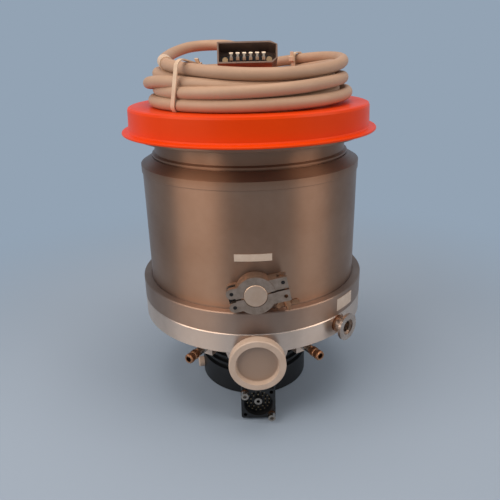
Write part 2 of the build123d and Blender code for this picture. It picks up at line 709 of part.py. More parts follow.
# ---- purge port, water fittings, side plug --------------------------------------------------------------
def purge_port():
    """Open small flange on a stem pressed into the base flange."""
    f = PURGE_FACE
    slope = (KF16_R - 7.5) * tan(radians(15))
    body = turned([
        (2.0, PURGE_FLAT - 13.0), (7.5, PURGE_FLAT - 13.0), (7.5, f - RIM - slope),
        (KF16_R, f - RIM), (KF16_R, f), (8.6, f), (8.6, f - 2.6), (6.3, f - 2.6),
        (6.3, f - 13.0), (2.0, f - 13.0),
    ])
    return radial(PURGE_AZ, PURGE_Z) * body


def purge_collar():
    """Brass collar at the root of the purge stem."""
    return radial(PURGE_AZ, PURGE_Z) * pipe(9.4, 7.5, PURGE_FLAT, PURGE_FLAT + 2.2)


def water_bodies():
    """Plated bodies of the two cooling-water fittings, pressed into their lugs."""
    body = turned([(2.6, 100.0), (4.2, 100.0), (4.2, 108.0), (5.6, 108.0), (5.6, 113.0),
                   (4.8, 113.6), (4.8, 122.0), (2.6, 122.0)])
    return [radial(az, WATER_Z) * body for az in (-WATER_AZ, WATER_AZ)]


def water_nipples():
    """Brass release collars at the open ends of the fittings."""
    e = WATER_END
    ring = turned([(3.0, 122.0), (4.0, 122.0), (4.0, 123.6), (5.3, 124.4), (5.3, 129.4),
                   (4.5, 130.2), (4.5, 131.6), (5.3, 132.4), (5.3, e - 0.8), (4.6, e), (3.0, e)])
    return [radial(az, WATER_Z) * ring for az in (-WATER_AZ, WATER_AZ)]


def side_nipple():
    """Small nipple low on the side of the housing."""
    return radial(SIDE_AZ, SIDE_Z) * pipe(3.5, 1.6, HOUSING_R - 9.0, HOUSING_R + 4.5)


def side_cap():
    """White push-on cap of the side nipple."""
    r0 = HOUSING_R + 0.5
    cap = turned([(3.55, r0), (6.6, r0), (6.6, r0 + 6.0), (5.8, r0 + 6.8), (0, r0 + 6.8),
                  (0, HOUSING_R + 4.6), (3.55, HOUSING_R + 4.6)])
    return radial(SIDE_AZ, SIDE_Z) * cap


# ---- labels ------------------------------------------------------------------------------------------------
def label(radius, width, height, az, z):
    """Thin plate bent to a cylinder."""
    half = degrees(width / radius / 2)
    strip = make_face(Polyline((radius, 0, z - height / 2), (radius + 0.3, 0, z - height / 2),
                               (radius + 0.3, 0, z + height / 2), (radius, 0, z + height / 2),
                               close=True))
    return Rot(0, 0, az - 90 - half) * revolve(strip, Axis.Z, 2 * half)


# ---- protective cap ------------------------------------------------------------------------------------------
def inlet_cap():
    """Orange press-on cap over the inlet flange, standing on an inner rib."""
    t, low = CAP_TOP, CAP_TOP - CAP_SKIRT
    under = t - CAP_WALL
    inside = CF_R + 0.4
    return turned([
        (0, t), (CAP_R - 3.0, t), (CAP_R - 0.9, t - 0.9), (CAP_R, t - 3.0), (CAP_R + 0.8, low + 4.6),
        (CAP_R + 1.8, low + 3.2), (CAP_LIP_R - 0.6, low + 2.4), (CAP_LIP_R, low + 1.6),
        (CAP_LIP_R, low + 0.5), (CAP_LIP_R - 0.5, low), (inside + 1.4, low), (inside, low + 3.0),
        (inside, under), (CF_PCD_R + 9.3, under), (CF_PCD_R + 9.3, CF_TOP),
        (CF_PCD_R + 5.6, CF_TOP), (CF_PCD_R + 5.6, under), (0, under),
    ])


# ---- drive cable -----------------------------------------------------------------------------------------------
HOOD_AT = (0.0, -88.0, CAP_TOP + 43.0)      # lower front edge of the hood


def hood_frame():
    """Frame on the hood's lower front edge: +Y into the hood, leaned nose up."""
    x, y, z = HOOD_AT
    return Pos(x, y, z) * Rot(-HOOD_TILT, 0, 0)


def hood_section(inset):
    """Outline of the hood's mouth, with one bevelled side."""
    w, h, i = HOOD_W / 2, HOOD_H, inset
    pts = [(-w + i, 0, i), (w - 5.0 - i * 0.5, 0, i), (w - i, 0, 4.6), (w - i, 0, h - 3.2),
           (w - 6.5 - i * 0.5, 0, h - i), (-w + i, 0, h - i)]
    return make_face(Polyline(*pts, close=True))


def connector_hood():
    """Metal hood of the cable's flat plug, open at the front."""
    outer = extrude(hood_section(0.0), HOOD_L, dir=(0, 1, 0))
    hollow = extrude(hood_section(1.4), HOOD_L - 3.0, dir=(0, 1, 0))
    entry = Pos(0, HOOD_L - 4.0, HOOD_H / 2) * Rot(-90, 0, 0) * Cylinder(CABLE_R, 8.0, align=LOW)
    spout = Pos(0, HOOD_L - 1.0, HOOD_H / 2) * Rot(-90, 0, 0) * Cylinder(8.4, 9.0, align=LOW)
    bore = Pos(0, HOOD_L - 4.0, HOOD_H / 2) * Rot(-90, 0, 0) * Cylinder(CABLE_R, 20.0, align=LOW)
    return hood_frame() * (outer - hollow - entry + spout - bore)


def connector_block():
    """Insulating block at the back of the hood that holds the blades."""
    body = Pos(-1.2, 10.0, 1.4) * Box(HOOD_W - 9.0, 8.0, 8.4, align=(Align.CENTER, Align.MIN, Align.MIN))
    cuts = []
    for x in blade_xs():
        cuts.append(Pos(x, 8.0, 4.6) * Box(3.0, 12.0, 1.4, align=(Align.CENTER, Align.MIN, Align.CENTER)))
    for x in PLUG_SCREWS:
        cuts.append(Pos(x, 8.0, 5.6) * Rot(-90, 0, 0) * Cylinder(1.6, 12.0, align=LOW))
    return hood_frame() * (body - cuts)


def blade_xs():
    """Places of the flat contacts across the plug."""
    return [-15.0 + 6.0 * i for i in range(6)]


def connector_blades():
    """Flat contacts of the plug."""
    one = Box(3.0, 15.0, 1.4, align=(Align.CENTER, Align.MIN, Align.CENTER))
    return [hood_frame() * Pos(x, 3.0, 4.6) * one for x in blade_xs()]


def connector_screws():
    """Two brass screws of the plug."""
    head = Rot(-90, 0, 0) * Cylinder(2.7, 2.2, align=LOW)
    shank = Rot(-90, 0, 0) * Cylinder(1.6, 9.0, align=LOW)
    one = Pos(0, 7.8, 0) * head + Pos(0, 8.0, 0) * shank
    return [hood_frame() * Pos(x, 0, 5.6) * one for x in PLUG_SCREWS]


def cable_coil():
    """Outer shape of the coiled cable lying on the cap."""
    mid = (COIL_OUT + COIL_IN) / 2
    ring = make_face(Polyline(*[
        (r, 0, CAP_TOP + z) for r, z in (
            (COIL_IN + 4, 0), (COIL_OUT - 6, 0), (COIL_OUT, 6), (COIL_OUT, COIL_H - 14),
            (COIL_OUT - 5, COIL_H - 4), (mid + 4, COIL_H), (mid - 5, COIL_H), (COIL_IN + 4, COIL_H - 5),
            (COIL_IN, COIL_H - 14), (COIL_IN, 6))
    ], close=True))
    return revolve(ring, Axis.Z, 360)


def hood_point(x, y, z):
    """A point given in the hood's frame."""
    at = hood_frame() * Pos(x, y, z)
    return (at.position.X, at.position.Y, at.position.Z)


def lead_points():
    """Corners of the lead from the top of the coil to the back of the hood."""
    z = CAP_TOP
    return [(-93.0, -26.0, z + COIL_H + CABLE_R + 0.2), (-91.0, 24.0, z + 53.0),
            (-50.0, 62.0, z + 62.0), (-6.0, 40.0, z + 55.0), hood_point(0, HOOD_L + 16.0, HOOD_H / 2),
            hood_point(0, HOOD_L - 3.0, HOOD_H / 2)]


def plug_lead_points():
    """Corners of the short lead from the coil to the round plug."""
    z = CAP_TOP + CABLE_R + 6.0
    return [(61.0, 20.0, z), (61.0, 34.0, z), (38.0, 58.0, z + 3.0)]


def swept(points):
    """Round cable along straight runs joined by tangent arcs, with its bend radii printed."""
    vec = [Vector(*p) for p in points]
    radii = []
    for a, b, c in zip(vec, vec[1:], vec[2:]):
        turn = radians((b - a).get_angle(c - b))
        radii.append(0.45 * min((b - a).length, (c - b).length) / max(tan(turn / 2), 1e-6))
    print("cable bend radii", [round(r, 1) for r in radii])
    line = FilletPolyline(*points, radius=radii)
    start = Plane(origin=points[0], z_dir=(vec[1] - vec[0]).normalized())
    return sweep(start * Circle(CABLE_R), path=line)


def round_plug():
    """Round plug at the cable's other end, lying inside the coil."""
    z = CAP_TOP + 12.0
    body = turned([(0, 0), (12.0, 0), (12.0, 14.0), (11.0, 15.0), (11.0, 30.0), (9.0, 32.0),
                   (9.0, 40.0), (CABLE_R, 40.0), (CABLE_R, 36.0), (0, 36.0)])
    body -= rod(9.6, -1, 8.0)
    return Pos(61.0, -19.5, z) * Rot(-90, 0, 0) * body


NODES = {
    "envelope": envelope, "envelope_screws": envelope_screws, "inlet_screen": inlet_screen,
    "base_flange": base_flange, "base_oring": base_oring, "rotor_turbine": rotor_turbine,
    "stator_discs": stator_discs, "spacer_rings": spacer_rings, "drag_stator": drag_stator,
    "rotor_shaft": shaft, "rotor_screw": rotor_screw,
    "bearing_inner_races": lambda: [inner_race(UPPER_BEARING), inner_race(LOWER_BEARING)],
    "bearing_outer_races": lambda: [outer_race(UPPER_BEARING), outer_race(LOWER_BEARING)],
    "upper_bearing_balls": lambda: balls(UPPER_BEARING),
    "upper_bearing_cage": lambda: cage(UPPER_BEARING),
    "lower_bearing_balls": lambda: balls(LOWER_BEARING),
    "lower_bearing_cage": lambda: cage(LOWER_BEARING),
    "bearing_plate": bearing_plate, "plate_screws": plate_screws, "shaft_nut": shaft_nut, "motor_core": motor_core,
    "motor_windings": motor_windings, "motor_magnet": motor_magnet,
    "motor_housing": motor_housing, "housing_screws": housing_screws,
    "socket_block": socket_block, "socket_insert": socket_insert, "socket_pins": socket_pins,
    "socket_post": socket_post, "socket_washers": socket_washers, "socket_screws": socket_screws,
    "exhaust_port": exhaust_port, "exhaust_cap": exhaust_cap,
    "vent_port": vent_port, "vent_centring_ring": vent_centring_ring, "vent_oring": vent_oring,
    "vent_blank": vent_blank, "clamp_upper_half": lambda: clamp_half(1),
    "clamp_lower_half": lambda: clamp_half(-1), "clamp_pin": clamp_pin,
    "clamp_link": clamp_link,
    "clamp_swing_bolt": clamp_swing_bolt, "clamp_washer": clamp_washer,
    "clamp_wing_nut": clamp_wing_nut, "purge_port": purge_port, "purge_collar": purge_collar,
    "water_bodies": water_bodies, "water_nipples": water_nipples,
    "side_nipple": side_nipple, "side_cap": side_cap,
    "labels": lambda: [label(TUBE_R, 38.0, 7.5, VENT_AZ - 0.6, VENT_Z + 32.6),
                       label(RING_R, 30.0, 14.0, 50.0, BASE_TOP + 12.6)],
    "inlet_cap": inlet_cap,
    "connector_hood": connector_hood, "connector_block": connector_block,
    "connector_blades": connector_blades, "connector_screws": connector_screws,
    "cable_coil": cable_coil, "cable_lead": lambda: swept(lead_points()),
    "plug_lead": lambda: swept(plug_lead_points()), "round_plug": round_plug,
}

for node, make in NODES.items():
    save(node, make())
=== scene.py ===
"""Turbomolecular pump standing on its motor housing, with its drive cable coiled on the inlet cap.

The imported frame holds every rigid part. This script lays the drive cable, adds the pieces whose detail
is finer than a solid shows, gives every part its finish, and sets the camera, lamps and floor.
Lengths are in metres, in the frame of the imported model: the table is z = 0, the pump axis is x = y = 0
and the exhaust, vent and socket face -Y. Sizes given in millimetres carry _mm or the factor MM.
"""
import logging
from dataclasses import dataclass, field
from enum import Enum
from math import cos, pi, radians, sin
from typing import Any, Sequence

import bmesh
import bpy
import numpy as np
from mathutils import Matrix, Vector


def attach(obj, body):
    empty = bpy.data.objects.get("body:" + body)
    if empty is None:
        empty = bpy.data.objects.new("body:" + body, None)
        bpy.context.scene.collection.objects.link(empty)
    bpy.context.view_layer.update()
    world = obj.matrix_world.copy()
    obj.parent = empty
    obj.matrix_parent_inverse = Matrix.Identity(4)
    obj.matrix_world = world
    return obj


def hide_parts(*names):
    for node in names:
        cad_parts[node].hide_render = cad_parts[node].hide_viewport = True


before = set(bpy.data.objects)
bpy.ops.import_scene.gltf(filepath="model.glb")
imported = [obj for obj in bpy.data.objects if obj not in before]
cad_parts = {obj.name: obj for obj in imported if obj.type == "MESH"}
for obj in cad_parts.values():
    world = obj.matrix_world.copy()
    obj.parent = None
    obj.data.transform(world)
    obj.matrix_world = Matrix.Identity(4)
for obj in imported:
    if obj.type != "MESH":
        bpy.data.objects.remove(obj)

LOG = logging.getLogger("pump")
MM = 0.001
PATCH_RANGE = (0.35, 0.68)      # noise at which a patch begins, and where it is full
GLOSS_RANGE = (0.3, 0.7)        # noise at which the roughness is least, and greatest
RING_DRIFT = 0.012              # how much the lathe's rings change along X, so that none is perfect
CORNERS = ((-1, -1), (1, -1), (1, 1), (-1, 1))      # of a square section, in order round it
Point = tuple[float, float, float]


# ---- colours and nodes ---------------------------------------------------------------------------
def linear(code: str) -> tuple[float, float, float, float]:
    """Turn an sRGB hex colour to linear light.

    Args:
        code: Colour such as "#a08060".

    Returns:
        Red, green, blue and an alpha of 1. Each channel is c / 12.92 up to 0.04045, and
        ((c + 0.055) / 1.055) to the power 2.4 above it.
    """
    channels = (int(code[i:i + 2], 16) / 255 for i in (1, 3, 5))
    red, green, blue = (c / 12.92 if c <= 0.04045 else ((c + 0.055) / 1.055) ** 2.4 for c in channels)
    return red, green, blue, 1.0


def add(tree: bpy.types.NodeTree, kind: str, sockets: dict[str | int, Any] | None = None,
        **settings: Any) -> bpy.types.Node:
    """Add one node with its settings and its inputs.

    Args:
        tree: Node tree that the node joins.
        kind: The node's type name.
        sockets: Input name or number to a value, or to the output socket that feeds it.
        settings: Properties of the node itself.

    Returns:
        The new node.
    """
    made = tree.nodes.new(kind)
    for name, value in settings.items():
        setattr(made, name, value)
    for name, value in (sockets or {}).items():
        if isinstance(value, bpy.types.NodeSocket):
            tree.links.new(value, made.inputs[name])
        else:
            made.inputs[name].default_value = value
    return made


class Pattern(Enum):
    """How the fine relief of a finish lies on the part."""

    GRAIN = "even grain: blasting, casting, moulding"
    TURNED = "rings round the pump axis, left by the lathe"


@dataclass(frozen=True)
class Middle:
    """A round place on a face square to Y where a finish has another colour."""

    x: float
    z: float
    radius: float
    colour: str
    edge: float = 1.5 * MM      # width over which the colours change


@dataclass(frozen=True)
class Finish:
    """One real material and the way its surface was made."""

    title: str
    colour: str
    shade: str                  # colour of the slow patches
    roughness: float
    metallic: float = 0.0
    spread: float = 0.06        # swing of the roughness either way
    patch_mm: float = 30.0      # size of the patches
    pattern: Pattern = Pattern.GRAIN
    grain_mm: float = 1.5       # drawn no finer than the render shows
    relief_mm: float = 0.03
    ior: float = 1.5
    lathe: float = 0.0          # how far the lathe's rings stretch a highlight across them, 0 to 1
    middle: Middle | None = None
    bands: tuple[tuple[float, str], ...] = ()   # height in metres and the colour from there up

    def vector(self, tree: bpy.types.NodeTree) -> bpy.types.NodeSocket:
        """Coordinates that the fine relief is read from.

        Args:
            tree: The material's node tree.

        Returns:
            Object coordinates, or for a turned part distance from the pump axis, height, and a little
            of X.
        """
        place = add(tree, "ShaderNodeTexCoord").outputs["Object"]
        if self.pattern is not Pattern.TURNED:
            return place
        axes = add(tree, "ShaderNodeSeparateXYZ", {0: place})
        flat = add(tree, "ShaderNodeCombineXYZ", {0: axes.outputs[0], 1: axes.outputs[1]})
        radius = add(tree, "ShaderNodeVectorMath", {0: flat.outputs[0]}, operation="LENGTH")
        drift = add(tree, "ShaderNodeMath", {0: axes.outputs[0], 1: RING_DRIFT}, operation="MULTIPLY")
        rings = add(tree, "ShaderNodeCombineXYZ", {
            0: radius.outputs["Value"], 1: axes.outputs[2], 2: drift.outputs[0]})
        return rings.outputs[0]

    def across_rings(self, tree: bpy.types.NodeTree) -> bpy.types.NodeSocket:
        """Direction on the surface square to the lathe's rings.

        The rings run along (-y, x, 0), so the direction is the normal crossed with that.

        Args:
            tree: The material's node tree.

        Returns:
            Vector output: upright on a wall, radial on a level face.
        """
        place = add(tree, "ShaderNodeTexCoord").outputs["Object"]
        axes = add(tree, "ShaderNodeSeparateXYZ", {0: place})
        back = add(tree, "ShaderNodeMath", {0: axes.outputs[1], 1: -1.0}, operation="MULTIPLY")
        ring = add(tree, "ShaderNodeCombineXYZ", {0: back.outputs[0], 1: axes.outputs[0]})
        normal = add(tree, "ShaderNodeNewGeometry").outputs["Normal"]
        across = add(tree, "ShaderNodeVectorMath", {0: normal, 1: ring.outputs[0]},
                     operation="CROSS_PRODUCT")
        return add(tree, "ShaderNodeVectorMath", {0: across.outputs[0]}, operation="NORMALIZE").outputs[0]

    def base(self, tree: bpy.types.NodeTree, patches: bpy.types.NodeSocket) -> bpy.types.NodeSocket:
        """Base colour: the finish's colour, or its bands by height, with patches of the shade.

        Args:
            tree: The material's node tree.
            patches: Slow noise from 0 to 1.

        Returns:
            Colour output.
        """
        first: Any = linear(self.colour)
        if self.bands:
            place = add(tree, "ShaderNodeTexCoord").outputs["Object"]
            height = add(tree, "ShaderNodeSeparateXYZ", {0: place}).outputs[2]
            ramp = add(tree, "ShaderNodeValToRGB", {0: height})
            ramp.color_ramp.elements[0].position = self.bands[0][0]
            ramp.color_ramp.elements[0].color = linear(self.bands[0][1])
            ramp.color_ramp.elements[1].position = self.bands[-1][0]
            ramp.color_ramp.elements[1].color = linear(self.bands[-1][1])
            for height_m, code in self.bands[1:-1]:
                ramp.color_ramp.elements.new(height_m).color = linear(code)
            first = ramp.outputs[0]
        amount = add(tree, "ShaderNodeMapRange", {
            0: patches, 1: PATCH_RANGE[0], 2: PATCH_RANGE[1], 3: 0.0, 4: 1.0})
        mixed = add(tree, "ShaderNodeMix", {0: amount.outputs[0], 6: first, 7: linear(self.shade)},
                    data_type="RGBA", blend_type="MULTIPLY" if self.bands else "MIX")
        if self.middle is None:
            return mixed.outputs[2]
        return self.with_middle(tree, mixed.outputs[2], self.middle)

    @staticmethod
    def with_middle(tree: bpy.types.NodeTree, colour: bpy.types.NodeSocket,
                    middle: Middle) -> bpy.types.NodeSocket:
        """Lay the middle's colour over a colour.

        Args:
            tree: The material's node tree.
            colour: Colour outside the middle.
            middle: The round place.

        Returns:
            Colour output.
        """
        place = add(tree, "ShaderNodeTexCoord").outputs["Object"]
        centred = add(tree, "ShaderNodeMapping", {
            "Vector": place, "Location": (-middle.x, 0, -middle.z)})
        axes = add(tree, "ShaderNodeSeparateXYZ", {0: centred.outputs[0]})
        flat = add(tree, "ShaderNodeCombineXYZ", {0: axes.outputs[0], 1: axes.outputs[2]})
        away = add(tree, "ShaderNodeVectorMath", {0: flat.outputs[0]}, operation="LENGTH")
        inside = add(tree, "ShaderNodeMapRange", {
            0: away.outputs["Value"], 1: middle.radius - middle.edge, 2: middle.radius, 3: 1.0, 4: 0.0})
        return add(tree, "ShaderNodeMix", {0: inside.outputs[0], 6: colour, 7: linear(middle.colour)},
                   data_type="RGBA").outputs[2]

    def material(self) -> bpy.types.Material:
        """Build the material, once for each finish.

        Returns:
            The finish as a node material.
        """
        known = bpy.data.materials.get(self.title)
        if known:
            return known
        made = bpy.data.materials.new(self.title)
        made.use_nodes = True
        tree = made.node_tree
        tree.nodes.clear()
        place = add(tree, "ShaderNodeTexCoord").outputs["Object"]
        patches = add(tree, "ShaderNodeTexNoise", {
            "Vector": place, "Scale": 1 / (self.patch_mm * MM), "Detail": 4.0, "Roughness": 0.6})
        lines = self.vector(tree)
        grain = add(tree, "ShaderNodeTexNoise", {
            "Vector": lines, "Scale": 1 / (self.grain_mm * MM), "Detail": 3.0, "Roughness": 0.55})
        gloss = add(tree, "ShaderNodeMix", {2: patches.outputs["Fac"], 3: grain.outputs["Fac"], 0: 0.4})
        rough = add(tree, "ShaderNodeMapRange", {
            0: gloss.outputs[0], 1: GLOSS_RANGE[0], 2: GLOSS_RANGE[1],
            3: self.roughness - self.spread, 4: self.roughness + self.spread})
        bump = add(tree, "ShaderNodeBump", {
            "Height": grain.outputs["Fac"], "Distance": self.relief_mm * MM, "Strength": 1.0})
        shader = add(tree, "ShaderNodeBsdfPrincipled", {
            "Base Color": self.base(tree, patches.outputs["Fac"]), "Metallic": self.metallic,
            "Roughness": rough.outputs[0], "IOR": self.ior, "Anisotropic": self.lathe,
            "Normal": bump.outputs[0]})
        if self.lathe:
            tree.links.new(self.across_rings(tree), shader.inputs["Tangent"])
        add(tree, "ShaderNodeOutputMaterial", {"Surface": shader.outputs[0]})
        return made


# ---- the finishes --------------------------------------------------------------------------------
# Fine-turned 304 steel: a satin metal whose rings draw each highlight out into an upright band. The lower
# ring is faced greyer, and the neck and shoulder under the cap are painted darker and browner: painted shade
# under the cap's rim and a painted orange reflection of the cap.
TURNED_STEEL = Finish(
    "stainless_fine_turned", "#a9866f", "#ece8e5", 0.44, 1.0, patch_mm=55, pattern=Pattern.TURNED,
    grain_mm=1.1, relief_mm=0.008, lathe=0.85,
    # the darker, browner bands from 0.271 m to 0.308 m are painted shade and a painted orange reflection
    # under the cap
    bands=((0.0, "#ad917f"), (0.1455, "#ad917f"), (0.1462, "#ac8870"), (0.271, "#a8836b"),
           (0.2805, "#9c7359"), (0.290, "#a0765c"), (0.308, "#a9866f")))
# Turned and polished 304 steel of the small ports: bright, with small clear highlights.
STEEL_BRIGHT = Finish("stainless_turned_bright", "#cbbaad", "#b5a294", 0.28, 1.0, patch_mm=14, grain_mm=0.9,
                      relief_mm=0.01)
# Plain steel screws, rolled and oiled: darker, with broken highlights.
STEEL_DARK = Finish("steel_screws", "#8e847b", "#766c64", 0.34, 1.0, patch_mm=6, grain_mm=0.8,
                    relief_mm=0.02)
# Ground bearing steel: smooth, and mirrors in a narrow band.
GROUND_STEEL = Finish("bearing_steel_ground", "#c3c0bc", "#aaa6a1", 0.2, 1.0, patch_mm=10, grain_mm=0.8,
                      pattern=Pattern.TURNED, relief_mm=0.01)
# Turned and chromated aluminium: bright, with lathe rings that draw each highlight out upright.
TURNED_ALUMINIUM = Finish("aluminium_turned", "#e8cfbc", "#d8c0ae", 0.36, 1.0, patch_mm=36, grain_mm=0.9,
                          pattern=Pattern.TURNED, relief_mm=0.008, lathe=0.8)
# Milled aluminium of the blades and discs: pale, even and softly bright.
MILLED_ALUMINIUM = Finish("aluminium_milled", "#c6c4c1", "#b0aeab", 0.33, 1.0, patch_mm=22, grain_mm=1.0,
                          relief_mm=0.012)
# Die-cast and tumbled aluminium: duller, with a rounded open grain.
CAST_ALUMINIUM = Finish("aluminium_die_cast", "#b39a88", "#96806f", 0.44, 1.0, spread=0.1, patch_mm=7,
                        grain_mm=1.1, relief_mm=0.09)
# Black anodised aluminium: a hard dyed layer, near black, with wide grey highlights.
ANODISED = Finish("aluminium_black_anodised", "#0b0b0d", "#101012", 0.46, 0.0, patch_mm=18, grain_mm=0.9,
                  relief_mm=0.02)
# Glass-filled nylon, moulded: black and matt.
BLACK_NYLON = Finish("nylon_black_moulded", "#0b0b0c", "#111112", 0.5, patch_mm=9, grain_mm=0.8,
                     relief_mm=0.03)
# Turned brass, handled: warm, and a little tarnished in patches.
BRASS = Finish("brass_turned", "#b98866", "#96694c", 0.33, 1.0, spread=0.1, patch_mm=4, grain_mm=0.8,
               relief_mm=0.02)
# Nickel plate over turned brass: a pale warm metal with clear highlights.
NICKEL = Finish("nickel_plated", "#b9afa4", "#9b9086", 0.26, 1.0, patch_mm=6, grain_mm=0.9, relief_mm=0.01)
# Brass screw heads in the hood: painted lighter than their brass, a painted highlight, so they stay bright
# though they sit in the hood's shade.
BRASS_PAINTED_LIT = Finish("brass_painted_lit", "#eebb88", "#d9a470", 0.3, 1.0, patch_mm=4, grain_mm=0.8,
                      relief_mm=0.008)
# Satin aluminium of the vent blank: smooth and pale, with a soft reflection.
SATIN_ALUMINIUM = Finish("aluminium_satin", "#dcbca2", "#d2b096", 0.5, 1.0, patch_mm=14, grain_mm=0.8,
                         relief_mm=0.004)
# Steel of the clamp's pins, coloured dark and dull as painted shade, so each reads as a hole.
PIN_STEEL_SHADED = Finish("steel_pins_painted_shade", "#2b2624", "#231f1d", 0.5, 0.6, patch_mm=5, grain_mm=0.8,
                       relief_mm=0.01)
# Tin plate on the flat plug's contacts: dull warm silver.
TIN = Finish("contacts_tin_plated", "#d9c4ad", "#c4ae96", 0.4, 0.75, patch_mm=4, grain_mm=0.8,
             relief_mm=0.01)
# Thin gold flash on the socket's contacts: small points, brownish in the shade of the socket.
GOLD = Finish("contacts_gold_flashed", "#8f7f68", "#776852", 0.4, 1.0, patch_mm=3, grain_mm=0.8,
              relief_mm=0.01)
# Polyethylene, moulded: a waxy orange plastic with a broad dull highlight.
ORANGE_CAP = Finish("polyethylene_orange", "#e54200", "#df3d00", 0.34, patch_mm=60, grain_mm=2.2,
                    relief_mm=0.03, ior=1.25)
# The same uncoloured: milky. The thin middle of the exhaust cap lies over the open bore, so less light
# comes back from it.
WHITE_CAP = Finish("polyethylene_natural", "#c8b2a2", "#bda694", 0.4, patch_mm=14, grain_mm=1.6,
                   relief_mm=0.04, middle=Middle(0.0028, 0.095, 0.0218, "#9c8473"))
# Uncoloured nylon, moulded: pale tan, with a slight gloss.
WHITE_NYLON = Finish("nylon_natural", "#dcc0a6", "#cfb298", 0.42, patch_mm=6, grain_mm=0.9, relief_mm=0.02)
# Bare label film: smooth and pale, a little glossier than paper.
LABEL_FILM = Finish("label_film_bare", "#d3c1b1", "#c8b5a5", 0.45, patch_mm=9, grain_mm=1.2, relief_mm=0.01)
# Soft PVC jacket, extruded: matt, and slightly darker in patches where it is handled.
CABLE_PVC = Finish("pvc_cable_jacket", "#b8967d", "#b08f77", 0.55, patch_mm=34, grain_mm=1.6, relief_mm=0.04)
# Plated zinc casting, dulled by age: brown-grey, with no clear reflection.
PLATED_ZINC = Finish("zinc_hood_plated", "#94796a", "#836a5c", 0.42, 0.35, patch_mm=12, grain_mm=0.9,
                     relief_mm=0.03)
# Black rubber, moulded: matt.
RUBBER = Finish("rubber_black", "#1a1a1a", "#242322", 0.6, patch_mm=8, grain_mm=1.0, relief_mm=0.04)
# Copper wire under clear enamel, wound: orange-brown and uneven.
COPPER = Finish("copper_enamelled", "#b0643a", "#8c4b28", 0.34, 1.0, patch_mm=5, grain_mm=1.0, relief_mm=0.2)
# Stacked electrical steel: grey, with the edge of each sheet as a fine ring.
LAMINATION = Finish("steel_laminations", "#77777a", "#5f5f62", 0.45, 1.0, patch_mm=12, grain_mm=0.8,
                    pattern=Pattern.TURNED, relief_mm=0.08)
# Sintered magnet, ground: dark grey and even.
MAGNET = Finish("magnet_sintered", "#68686c", "#545458", 0.4, 1.0, patch_mm=8, relief_mm=0.04)
# Silicon nitride, polished: black and glossy as glass.
CERAMIC = Finish("silicon_nitride", "#1b1b1e", "#232327", 0.12, patch_mm=5, relief_mm=0.005, ior=2.0)
# Cotton cloth bonded with phenolic, machined: brown and matt, with small specks.
PHENOLIC = Finish("phenolic_cloth_cage", "#8b6138", "#744e2b", 0.5, patch_mm=3, grain_mm=0.9, relief_mm=0.05)

DRESSING: dict[Finish, tuple[str, ...]] = {
    TURNED_STEEL: ("envelope",),
    STEEL_BRIGHT: ("exhaust_port", "vent_port", "vent_centring_ring", "purge_port"),
    STEEL_DARK: ("envelope_screws", "inlet_screen", "plate_screws", "shaft_nut", "housing_screws",
                 "rotor_screw"),
    PIN_STEEL_SHADED: ("clamp_pin", "clamp_link"),
    GROUND_STEEL: ("rotor_shaft", "bearing_inner_races", "bearing_outer_races"),
    TURNED_ALUMINIUM: ("base_flange", "spacer_rings", "drag_stator"),
    MILLED_ALUMINIUM: ("rotor_turbine", "stator_discs", "bearing_plate"),
    CAST_ALUMINIUM: ("clamp_upper_half", "clamp_lower_half"),
    ANODISED: ("motor_housing",),
    BLACK_NYLON: ("socket_block", "socket_insert", "connector_block", "round_plug"),
    BRASS: ("socket_washers", "clamp_swing_bolt", "clamp_washer", "clamp_wing_nut", "purge_collar"),
    BRASS_PAINTED_LIT: ("connector_screws",),
    SATIN_ALUMINIUM: ("vent_blank",),
    NICKEL: ("socket_post", "socket_screws", "water_bodies", "side_nipple"),
    TIN: ("connector_blades",),
    GOLD: ("socket_pins",),
    ORANGE_CAP: ("inlet_cap",),
    WHITE_CAP: ("exhaust_cap", "side_cap"),
    LABEL_FILM: ("labels",),
    PLATED_ZINC: ("connector_hood",),
    RUBBER: ("base_oring", "vent_oring"),
    COPPER: ("motor_windings",),
    LAMINATION: ("motor_core",),
    MAGNET: ("motor_magnet",),
    CERAMIC: ("upper_bearing_balls", "lower_bearing_balls"),
    PHENOLIC: ("upper_bearing_cage", "lower_bearing_cage"),
}


